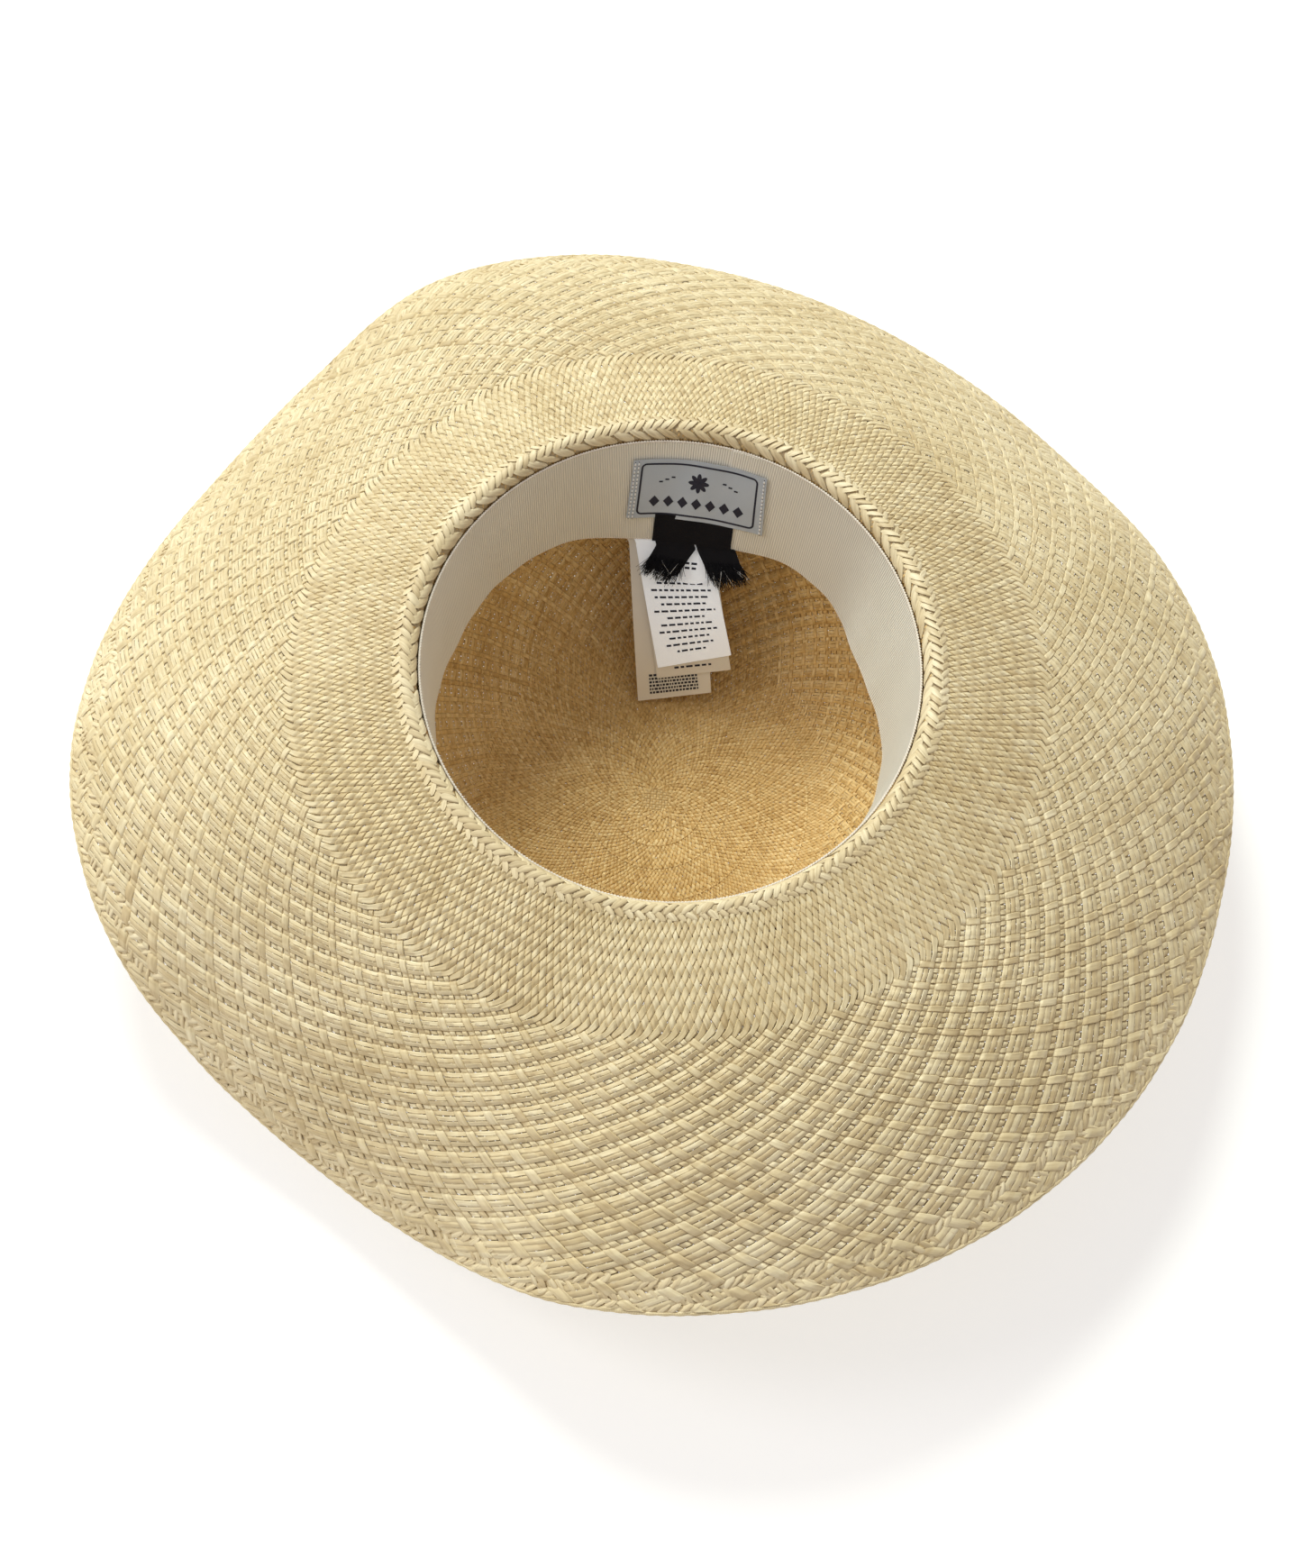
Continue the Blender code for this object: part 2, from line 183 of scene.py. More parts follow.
def crown_place(distance, depth):
    """(radius, height) inside the crown."""
    run = np.maximum(-distance - CHEVRON_RUN, 0)
    corner = np.clip((run - WALL_RUN) / CORNER_RADIUS, 0, CORNER_RUN / CORNER_RADIUS)
    angle = -WALL_LEAN - corner
    on_wall = np.minimum(run, WALL_RUN)
    beyond = np.maximum(run - WALL_RUN - CORNER_RUN, 0)
    above = WALL_RUN - on_wall
    radius = FLOOR_RADIUS + CORNER_RADIUS * np.cos(angle) + above * math.sin(WALL_LEAN) - beyond
    height = CORNER_HEIGHT + CORNER_RADIUS * np.sin(angle) + above * math.cos(WALL_LEAN)
    return radius + depth * np.cos(angle), height + depth * np.sin(angle)


def straw_point(distance, theta, lift):
    """Point of the straw at a place, anywhere from the crown's tip to the brim's edge."""
    distance, theta, lift = np.broadcast_arrays(distance, theta, lift)
    depth = STRAW / 2 - lift
    droop = np.radians(around(BRIM_DROOP, theta))
    on_brim = brim_offsets(distance, droop, depth)
    on_row = chevron_offsets(distance, droop, depth)
    out, up = (np.where(distance > 0, brim, row) for brim, row in zip(on_brim, on_row))
    rim = opening_point(theta) + outward(theta) * out[..., None] + UP * up[..., None]
    radius, height = crown_place(distance, depth)
    return np.where((distance > -CHEVRON_RUN)[..., None], rim, oval_point(radius, theta, height))


def band_point(theta, down, lift):
    """Point of the sweatband's visible face, down from its upper edge and lift towards the head."""
    theta, down, lift = np.broadcast_arrays(theta, down, lift)
    lean = np.radians(around(BAND_LEAN, theta))[..., None]
    face = opening_point(theta) - outward(theta) * (GAP + BAND_THICKNESS)
    along = outward(theta) * np.sin(lean) + UP * np.cos(lean)
    normal = UP * np.sin(lean) - outward(theta) * np.cos(lean)
    return face - along * down[..., None] + normal * lift[..., None]


def label_point(right, down, lift):
    """Point off the sweatband's face, right of the label's middle."""
    lean = math.radians(float(around(BAND_LEAN, np.array(LABEL_ANGLE))))
    curvature = OPENING_HALF_X**2 / OPENING_HALF_Y
    radius = OPENING_HALF_X * (1 - down * math.sin(lean) / curvature)
    return band_point(LABEL_ANGLE - right / radius, down, lift)


def wall_outside(theta, height, off):
    """Point off the crown's outer wall."""
    theta, height, off = np.broadcast_arrays(theta, height, off)
    radius = OPENING_RADIUS - (OPENING_HEIGHT - height) * math.tan(WALL_LEAN) + STRAW + off
    return oval_point(radius, theta, height)


# ---------------------------------------------------------------- meshes

def new_piece(name, points, faces, material, sharp=50, body="hat", stands_for=(), slot=None, maps=None,
              values=None, second=None):
    """Mesh object from arrays.

    maps holds UV maps by face corner, values holds numbers by point or by face corner, and second is
    another material and which faces have it.
    """
    points = np.asarray(points, np.float32).reshape(-1, 3)
    faces = np.asarray(faces, np.int32)
    corners = points[faces]
    size = np.linalg.norm(np.cross(corners[:, 2] - corners[:, 0], corners[:, -1] - corners[:, 1]), axis=1)
    kept = size > 1e-12
    faces = faces[kept]
    mesh = bpy.data.meshes.new(name)
    mesh.vertices.add(len(points))
    mesh.vertices.foreach_set("co", points.ravel())
    mesh.loops.add(faces.size)
    mesh.loops.foreach_set("vertex_index", faces.ravel())
    mesh.polygons.add(len(faces))
    mesh.polygons.foreach_set("loop_start", np.arange(0, faces.size, faces.shape[1], dtype=np.int32))
    mesh.update(calc_edges=True)
    for map_name, places in (maps or {}).items():
        layer = mesh.uv_layers.new(name=map_name)
        layer.data.foreach_set("uv", np.asarray(places, np.float32)[kept].ravel())
    for value_name, numbers in (values or {}).items():
        numbers = np.asarray(numbers, np.float32)
        by_corner = numbers.shape == kept.shape + (4,)
        attribute = mesh.attributes.new(value_name, "FLOAT", "CORNER" if by_corner else "POINT")
        attribute.data.foreach_set("value", (numbers[kept] if by_corner else numbers).ravel())
    mesh.shade_smooth()
    mesh.set_sharp_from_angle(angle=math.radians(sharp))
    mesh.materials.append(material)
    if second:
        mesh.materials.append(second[0])
        mesh.polygons.foreach_set("material_index", second[1][kept].astype(np.int32))
    piece = bpy.data.objects.new(name, mesh)
    bpy.context.scene.collection.objects.link(piece)
    if body:
        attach(piece, body)
    if stands_for:
        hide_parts(*stands_for)
    return piece


def grid_faces(rows, columns, closed_rows=False, closed_columns=False):
    """Quads of a rows x columns grid of points, row by row."""
    row = np.arange(rows if closed_rows else rows - 1)
    column = np.arange(columns if closed_columns else columns - 1)
    row, column = (part.ravel() for part in np.meshgrid(row, column, indexing="ij"))
    next_row, next_column = (row + 1) % rows, (column + 1) % columns
    return np.stack((row * columns + column, next_row * columns + column,
                     next_row * columns + next_column, row * columns + next_column), axis=1)


def repeated(faces, count, points_each):
    """The same faces for each of count copies of a shape."""
    return (faces[None] + np.arange(count)[:, None, None] * points_each).reshape(-1, faces.shape[1])


def cloth_faces(rows, columns):
    """Faces of a thin closed sheet: a grid of front points, then the same grid of back points."""
    front = grid_faces(rows, columns)
    back = front[:, ::-1] + rows * columns
    index = np.arange(rows * columns).reshape(rows, columns)
    rim = np.concatenate((index[0, :], index[1:, -1], index[-1, -2::-1], index[-2:0:-1, 0]))
    after = np.roll(rim, -1)
    side = np.stack((rim, after, after + rows * columns, rim + rows * columns), axis=1)
    return np.concatenate((front, back, side))


def tube_faces(stations, sides):
    """Quads of a tube with 4, 6 or 8 sides, station by station, and then of its two ends."""
    fans = {4: ((0, 1, 2, 3),), 6: ((0, 1, 2, 3), (0, 3, 4, 5)),
            8: ((0, 1, 2, 3), (0, 3, 4, 7), (7, 4, 5, 6))}
    end = np.array(fans[sides])
    return np.concatenate((grid_faces(stations, sides, closed_columns=True), end[:, ::-1],
                           (stations - 1) * sides + end))


def cell_shares(row, column, rows, columns):
    """Shares of the rows and of the columns at each quad's corners, in the order of grid_faces."""
    down = np.stack((row, row + 1, row + 1, row), axis=1) / rows
    across = np.stack((column, column, column + 1, column + 1), axis=1) / columns
    return np.stack((down, across), axis=-1)


# ---------------------------------------------------------------- materials

class Shader:
    """One material's nodes: a method that adds a node gives back its output."""

    def __init__(self, name, roughness, specular):
        self.material = bpy.data.materials.new(name)
        self.material.use_nodes = True
        self.tree = self.material.node_tree
        self.surface = self.tree.nodes["Principled BSDF"]
        self.join(self.surface, {"Roughness": roughness, "Specular IOR Level": specular})

    def join(self, node, inputs):
        """Sets each input to a number, a vector, a colour or another node's output."""
        for key, value in inputs.items():
            socket = node.inputs[key]
            if isinstance(value, bpy.types.NodeSocket):
                self.tree.links.new(value, socket)
            else:
                socket.default_value = (*value, 1) if socket.type == "RGBA" else value

    def add(self, kind, output, inputs, **settings):
        node = self.tree.nodes.new(f"ShaderNode{kind}")
        for key, value in settings.items():
            setattr(node, key, value)
        self.join(node, inputs)
        return node.outputs[output]

    def math(self, operation, *values):
        return self.add("Math", 0, dict(enumerate(values)), operation=operation)

    def mix(self, factor, first, second, blend="MIX"):
        return self.add("Mix", 2, {0: factor, 6: first, 7: second}, data_type="RGBA", blend_type=blend)

    def ramp(self, factor, *stops):
        output = self.add("ValToRGB", "Color", {"Fac": factor})
        elements = output.node.color_ramp.elements
        while len(elements) < len(stops):
            elements.new(0.5)
        for element, (place, colour) in zip(elements, stops):
            element.position = place
            element.color = (*colour, 1)
        return output

    def noise(self, place, stretch, scale, detail):
        """Noise over coordinates stretched along their axes; without coordinates, over the object's own."""
        place = place or self.add("TexCoord", "Object", {})
        stretched = self.add("Mapping", "Vector", {"Vector": place, "Scale": stretch})
        return self.add("TexNoise", "Fac", {"Vector": stretched, "Scale": scale, "Detail": detail})

    def finish(self, colour, height, strength, depth):
        bump = self.add("Bump", "Normal", {"Height": height, "Strength": strength, "Distance": depth})
        self.join(self.surface, {"Base Color": colour, "Normal": bump})
        return self.material


def straw_material(name, dark, middle, light, groove_shade):
    """Split palm straw: each strand its own tint, with fibres along it, and painted shade where it dips, from
    its shade numbers.
    """
    shader = Shader(name, 0.5, 0.4)
    tint, shade = (shader.add("Attribute", "Fac", {}, attribute_name=key) for key in ("tint", "shade"))
    fibre = shader.add("UVMap", "UV", {}, uv_map="fibre")
    streaks = shader.noise(fibre, (2600, 140, 1), 1.0, 3.0)
    patches = shader.noise(None, (1, 1, 1), 28.0, 2.0)
    colour = shader.ramp(tint, (0.0, dark), (0.45, middle), (1.0, light))
    # The last layer is painted shade: low shade numbers, in the dips and between strands, turn the colour
    # towards the groove colour.
    layers = ((0.55, streaks, (0.35, (0.66, 0.60, 0.50)), (0.62, (1.08, 1.07, 1.04))),
              (0.8, patches, (0.3, (0.90, 0.86, 0.78)), (0.7, (1.05, 1.05, 1.06))),
              (1.0, shade, (0.0, groove_shade), (0.55, (1, 1, 1))))
    for share, factor, low, high in layers:
        colour = shader.mix(share, colour, shader.ramp(factor, low, high), "MULTIPLY")
    return shader.finish(colour, streaks, 0.35, 0.12 * MM)


def cloth_material(name, colour, other, roughness, threads, sheen=0.0, bump_strength=0.5, mottle=60.0,
                   ribbed=False, valley=0.86):
    """Woven cloth: threads is the pitch of its ribs across and along, in UV map "weave" (metres).

    Ribbed cloth has ribs one way only; valley is how dark it is between them.
    """
    shader = Shader(name, roughness, 0.35)
    shader.join(shader.surface, {"Sheen Weight": sheen})
    weave_map = shader.add("UVMap", "UV", {}, uv_map="weave")
    waves = []
    for axis, pitch in zip("XY", threads):
        place = shader.add("SeparateXYZ", axis, {"Vector": weave_map})
        waves.append(shader.math("SINE", shader.math("MULTIPLY", place, TAU / pitch)))
    crossing = waves[0] if ribbed else shader.math("MULTIPLY", *waves)
    height = shader.math("MULTIPLY_ADD", crossing, 0.5, 0.5)
    base = shader.mix(shader.noise(None, (1, 1, 1), mottle, 4.0), colour, other)
    lines = shader.mix(height, (valley, valley, valley), (1, 1, 1))
    return shader.finish(shader.mix(1.0, base, lines, "MULTIPLY"), height, bump_strength, 0.1 * MM)


def thread_material(name, colour, other, roughness, specular=0.3):
    """Plain thread or print, with a soft change of shade."""
    shader = Shader(name, roughness, specular)
    noise = shader.noise(None, (1, 1, 1), 900.0, 2.0)
    shader.join(shader.surface, {"Base Color": shader.mix(noise, colour, other)})
    return shader.material


def set_surface(material, **inputs):
    """Sets inputs of a finished material's shader, named with underscores for spaces."""
    for key, value in inputs.items():
        material.node_tree.nodes["Principled BSDF"].inputs[key.replace("_", " ")].default_value = value


# ---------------------------------------------------------------- woven straw

def layout_radius(distance):
    """Mean radius of the straw at a distance, which the strands' angles are worked out from."""
    inside = crown_place(distance, 0 * distance)[0]
    rim = OPENING_RADIUS + CHEVRON_RADIUS * np.clip(1 + distance / CHEVRON_RUN, 0, 1)
    return np.where(distance < -CHEVRON_RUN, inside, rim + 0.92 * np.maximum(distance, 0))


def summed_turn(lean):
    """Angle that a strand turns by from the row's outer edge, at each of DISTANCES."""
    leans = np.radians(np.interp(DISTANCES, LEAN_PLACES, lean))
    slope = np.tan(leans) / layout_radius(DISTANCES)
    middle = (slope[1:] + slope[:-1]) / 2 * np.diff(DISTANCES)
    total = np.concatenate(((0,), np.cumsum(middle)))
    return total - np.interp(0.0, DISTANCES, total)


DISTANCES = np.linspace(-0.1648, 0.175, 2900)
TURN_CLOCKWISE = summed_turn(LEAN_CLOCKWISE)
TURN_COUNTER = summed_turn(LEAN_COUNTER)
TURN_BOTH = TURN_CLOCKWISE + TURN_COUNTER


def sweep(distance, theta, most):
    """Turn added to one family in the coarse part of the brim, which differs round the hat."""
    amount, peak = most
    return amount * np.clip((distance - SWEEP_START) / SWEEP_LENGTH, 0, 1.6) * np.cos(theta - peak)


def crossing_place(clockwise, counter, count):
    """(distance, theta) where two strand numbers meet."""
    turn_a, turn_b = clockwise * TAU / count, counter * TAU / count
    added_a = added_b = 0.0
    for _ in range(6):
        distance = np.interp(turn_a - turn_b - added_a - added_b, TURN_BOTH, DISTANCES)
        theta = turn_a - np.interp(distance, DISTANCES, TURN_CLOCKWISE) - added_a
        added_a = sweep(distance, theta, SWEEP_CLOCKWISE)
        added_b = sweep(distance, theta, SWEEP_COUNTER)
    return distance, theta


def crossings_to(distance, count):
    """How many strands of the other family a strand crosses between the row's outer edge and a distance."""
    return float(np.interp(distance, DISTANCES, count / TAU * TURN_BOTH))


def clockwise_is_over(clockwise, counter, rings):
    """1 where the clockwise strand passes over the other one, else -1.

    The weave is plain, but for rings of coarser pattern: there three strands of every four lie side by side
    and pass over three and under one, and the fourth is woven one over, one under.
    """
    plain = 1 - 2 * ((clockwise + counter) % 2)
    broad = np.select((counter % 4 == 0, counter % 4 == 2), (-1, 1), 0.7)
    single = 1 - 2 * (counter % 2)
    grouped = np.where(clockwise % 4 < 3, broad, single)
    ring = clockwise - counter
    coarse = np.zeros(ring.shape, bool)
    for start, end in rings:
        coarse |= (ring >= start) & (ring < end)
    return np.where(coarse, grouped, plain)


def strand_heights(strand, place, clockwise, rings):
    """Share of the rise, -1 to 1, of strand numbers at places along them (in crossings)."""
    lower = np.floor(place - 0.5).astype(int)
    t = place - 0.5 - lower
    if clockwise:
        near, far = (clockwise_is_over(strand, lower + step, rings) for step in (0, 1))
    else:
        near, far = (-clockwise_is_over(lower + step, strand, rings) for step in (0, 1))
    t = np.clip((t - 0.5) * CRISP + 0.5, 0, 1)
    return near + (far - near) * (1 - np.cos(math.pi * t)) / 2


ACROSS = np.array((-0.5, -0.37, 0.37, 0.5))
DOME = np.array((-0.95, 0.3, 0.3, -0.95))


def band_share(place):
    """1 on the middle of each band of three clockwise strands, 0 at its sides and beyond, by strand number."""
    off = np.abs((place + 0.5) % 4 - 2) / 1.5
    return np.maximum(1 - off**2.4, 0)


def strand_family(clockwise, strands, count, near, far, steps, rings, spare, seed):
    """Points, numbers and use of the strands of one family between two distances."""
    random = chance(seed)
    low, high = crossings_to(near, count), crossings_to(far, count)
    side = 1 if clockwise else -1
    out = np.arange(math.floor((low - 1.2) * steps), math.ceil((high + 1.2 + spare) * steps) + 1) / steps
    coarse = sum((np.clip(np.minimum(out - start, end - out) + 0.5, 0, 1) for start, end in rings), 0 * out)
    coarse = coarse[None, :, None]
    column = strands[:, None, None]
    widen = 1 + coarse * (0 if clockwise else np.where(column % 4 == 0, 0.32, -0.1))
    width = random.uniform(0.90, 1.02, count)[column] * widen
    phase = random.uniform(0, TAU, (2, count))[:, column]
    place = column - side * out[None, :, None]
    wander = 0.06 * np.sin(0.9 * place + phase[0]) + 0.05 * np.sin(2.3 * place + phase[1])
    own = column + 0.5 + wander * (1 - 0.5 * coarse) + ACROSS * width
    other = place + 0 * own
    if clockwise:
        distance, theta = crossing_place(own, other, count)
    else:
        distance, theta = crossing_place(other, own, count)
    inside = (distance > near) & (distance < far)
    height = strand_heights(column, place, clockwise, rings)
    in_band = column % 4 < 3 if clockwise else np.full(column.shape, False)
    dome = DOMED * (1 - 0.55 * coarse * in_band)
    if clockwise:
        band = BAND_RISE * band_share(own) * (0.55 + 0.45 * height) - 0.16 * MM * (column % 4 == 3)
    else:
        band = BAND_RISE * band_share(place) * (column % 4 == 0)
    squeeze = np.minimum(1, np.maximum(layout_radius(distance) * TAU / count / (2.0 * MM), 0.45))
    cells = random.random((count, 512))[column, np.floor(place).astype(int) % 512]
    jitter = random.normal(0, 0.03 * MM, count)[column] + 0.10 * MM * (cells - 0.5) * (height > 0)
    lift = (RISE * height + dome * DOME + (band - 0.1 * MM) * coarse) * squeeze + jitter
    points = straw_point(np.clip(distance, near, far), theta, lift)
    tint = np.clip(0.6 * random.beta(2.2, 2.2, count)[column] + 0.4 * cells, 0, 1) + 0 * lift
    # Painted shade: strands that dip, their edges and the lowered lanes between bands get low shade numbers
    # and are painted darker; under holds the same painted shade for the side away from the head.
    lane = 0.14 * coarse * (column % 4 == 3)
    shade = np.clip(0.50 + 0.32 * height + 0.62 * DOME * dome / DOMED - lane, 0, 1) + 0 * lift
    under = np.clip(0.66 - 0.34 * height, 0, 1) + 0 * lift
    return points, tint, shade, under, inside


def strand_piece(name, family, material, run_length, width, outside, **piece):
    """One mesh of whole strands, each a closed flat strip but for its two cut ends.

    outside is the material of the side away from the head, where a strand that dips here comes up.
    """
    points, tint, shade, under, inside = family
    strands, rows, columns = points.shape[:3]
    strip = grid_faces(rows, columns, closed_columns=True)
    column = np.tile(np.arange(columns), rows - 1)
    row = np.repeat(np.arange(rows - 1), columns)
    top = column < columns - 1
    step = 1 / (columns - 1)
    left = np.where(top, column * step, 1.0)
    right = np.where(top, (column + 1) * step, 0.0)
    across = np.stack((left, left, right, right), axis=1)
    along = np.stack((row, row + 1, row + 1, row), axis=1) / (rows - 1)
    faces = repeated(strip, strands, rows * columns)
    lane = np.arange(strands)[:, None, None] * 2 + np.where(top, 0, 1)[None, :, None]
    shift = chance(len(name) + strands).random((strands, 1, 1))
    fibre = np.stack((width * (across[None] + 0 * shift) + shift * 0.7,
                      run_length * along[None] + shift * 0.3), axis=-1).reshape(-1, 4, 2)
    bake = np.stack((0.002 + 0.996 * along[None] + 0 * shift,
                     (lane + 0.1 + 0.8 * across[None]) / (2 * strands)), axis=-1).reshape(-1, 4, 2)
    kept = inside.ravel()[faces].any(axis=1)
    # Painted shade: faces away from the head take the under numbers, faces towards it the shade numbers.
    away = np.tile(~top, strands)[kept]
    shades = np.where(away[:, None], under.ravel()[faces[kept]], shade.ravel()[faces[kept]])
    used, faces = np.unique(faces[kept], return_inverse=True)
    new_piece(name, points.reshape(-1, 3)[used], faces.reshape(-1, 4), material, second=(outside, away),
              maps={"fibre": fibre[kept], "OFBake": bake[kept]},
              values={"tint": tint.ravel()[used], "shade": shades}, **piece)


def weave(name, node, material, outside, count, near, far, steps, groups, seed, rings=(), spare=0):
    """Both families of strands between two distances, each in groups of whole strands."""
    rings = [[round(crossings_to(distance, count)) for distance in ring] for ring in rings]
    for turn, family in enumerate(("clockwise", "counter")):
        for group in range(groups):
            strands = np.arange(group * count // groups, (group + 1) * count // groups)
            arrays = strand_family(turn == 0, strands, count, near, far, steps, rings, spare, seed + turn)
            suffix = f"_{group + 1}" if groups > 1 else ""
            strand_piece(f"{name}_{family}{suffix}", arrays, material, (far - near) * 1.5, 2.2 * MM, outside,
                         stands_for=(node,), slot=f"straw_{node}")


def rosette(material):
    """Plain-woven square of straw at the centre of the tip, where the weaving starts."""
    reach, pitch, count = 5.6 * MM, 1.1 * MM, 57
    line = np.linspace(-reach, reach, count)
    x, y = np.meshgrid(line, line, indexing="ij")
    radius = np.hypot(x, y)
    squeeze = np.where(radius > 0, np.minimum(1, reach * 0.93 / np.maximum(radius, 1e-9)), 1)
    x, y = x * squeeze, y * squeeze
    along_x, along_y = x / pitch, y / pitch
    parity = 1 - 2 * ((np.floor(along_x) + np.floor(along_y)) % 2)
    bulge = np.abs(np.sin(math.pi * along_x)) * np.abs(np.sin(math.pi * along_y))
    lift = 0.1 * MM + 0.30 * MM * bulge ** 0.5
    z = STRAW / 2 + np.stack((lift, -0.2 * MM + 0 * lift))
    points = np.stack((np.stack((x, x)), np.stack((y, y)), z), axis=-1)
    bake = bake_map(count, count)
    # Painted shade: the rosette is painted darker between its raised crossings.
    tint, shade = (np.stack((share, share)) for share in (0.5 + 0.2 * parity, 0.3 + 0.4 * bulge))
    new_piece("crown_rosette", points, cloth_faces(count, count), material, slot="straw_crown",
              stands_for=("crown",), maps={"fibre": bake * 0.02, "OFBake": bake},
              values={"tint": tint, "shade": shade})


def bake_map(rows, columns):
    """UV map of cloth_faces: front, back beside it, and the rim in a thin strip."""
    row, column = np.meshgrid(np.arange(rows) / (rows - 1), np.arange(columns) / (columns - 1), indexing="ij")
    front = np.stack((0.48 * row, 0.94 * column), axis=-1).reshape(-1, 2)
    place = np.concatenate((front, front + (0.52, 0)))
    faces = cloth_faces(rows, columns)
    corners = place[faces]
    rim = len(faces) - 2 * (rows - 1) * (columns - 1)
    start = np.arange(rim)[:, None] / rim + np.array((0, 1, 1, 0)) / rim
    corners[-rim:] = np.stack((start, 0.95 + 0.04 * np.array((0, 0, 1, 1)) + 0 * start), axis=-1)
    return corners


# ---------------------------------------------------------------- stitched rows

STITCH_STATIONS = 7
STITCH_SIDES = 8


def stitch_row(name, node, material, count, near, far, slant, width, half_height, base, tilt, seed):
    """Row of slanted plaited stitches between two distances, each a closed lens-shaped strand.

    slant is how far round the hat a stitch runs, in pitches; tilt lifts one side of it over its neighbour.
    """
    random = chance(seed)
    along = np.linspace(0, 1, STITCH_STATIONS)[None, :, None]
    angle = (np.arange(STITCH_SIDES) + 0.5)[None, None] * TAU / STITCH_SIDES
    start = (np.arange(count) + random.normal(0, 0.09, count))[:, None, None]
    wide = width * random.uniform(0.82, 1.08, count)[:, None, None]
    body = np.sin(math.pi * (0.08 + 0.84 * along)) ** 0.55
    across = 0.5 * wide * body * np.cos(angle)
    pitch = TAU / count
    theta = (start + slant * along * random.uniform(0.85, 1.15, count)[:, None, None] + across) * pitch
    reach = random.normal(0, 0.25 * MM, count)[:, None, None]
    distance = near + (far - near) * along + reach * (along - 0.5) + 0 * theta
    height = half_height * random.uniform(0.88, 1.08, count)[:, None, None]
    lift = base + height * body * np.sin(angle) + tilt * np.cos(angle) * body + 0 * theta
    lift = lift - 0.45 * half_height * (2 * along - 1) ** 2
    points = straw_point(distance, theta, lift)
    one = tube_faces(STITCH_STATIONS, STITCH_SIDES)[:, ::-1]
    faces = repeated(one, count, STITCH_STATIONS * STITCH_SIDES)
    station, side = np.divmod(np.arange(STITCH_STATIONS * STITCH_SIDES), STITCH_SIDES)
    flat = np.stack((side / STITCH_SIDES, station / (STITCH_STATIONS - 1)), axis=1)
    corners = flat[one]
    wraps = (corners[..., 0].max(axis=1) - corners[..., 0].min(axis=1)) > 0.5
    corners[wraps, :, 0] = np.where(corners[wraps, :, 0] < 0.3, 1.0, corners[wraps, :, 0])
    across_rows = math.ceil(math.sqrt(count))
    number = np.arange(count)
    corner_place = np.stack((number % across_rows, number // across_rows), axis=1)[:, None, None]
    bake = (corner_place + 0.05 + 0.9 * corners[None] * (0.99, 1)) / across_rows
    shift = random.random((count, 1, 1, 2))
    fibre = corners[None] * (4 * MM, 5 * MM) + shift
    own = random.beta(2.0, 1.8, count)[:, None, None] + 0 * theta
    # Painted shade: each stitch darker along its sides and towards its ends.
    shade = np.clip(0.35 + 0.5 * np.abs(np.sin(angle)) * body + 0.2 * body, 0, 1) + 0 * theta
    new_piece(name, points, faces, material, sharp=80, stands_for=(node,), slot="straw_brim",
              maps={"fibre": fibre.reshape(-1, 4, 2), "OFBake": bake.reshape(-1, 4, 2)},
              values={"tint": own, "shade": shade})


def straw_bed(material):
    """Straw under the chevron stitches, which shows only as their bottom."""
    rows, columns = 8, 360
    distance = np.linspace(-CHEVRON_RUN + 0.4 * MM, 1.2 * MM, rows)[:, None]
    theta = np.linspace(0, TAU, columns + 1)[None]
    lift = np.minimum(0.40 * MM, 0.05 * MM + 0.35 * (1.2 * MM - distance))
    points = np.stack([straw_point(distance, theta, lift - depth) for depth in (0, 0.35 * MM)])
    bake = bake_map(rows, columns + 1)
    count = 2 * rows * (columns + 1)
    # Painted shade: low shade numbers paint the bed darker, under the stitches.
    new_piece("chevron_bed", points, cloth_faces(rows, columns + 1), material, stands_for=("chevron_row",),
              slot="straw_brim", maps={"fibre": bake, "OFBake": bake},
              values={"tint": np.full(count, 0.4), "shade": np.full(count, 0.3)})


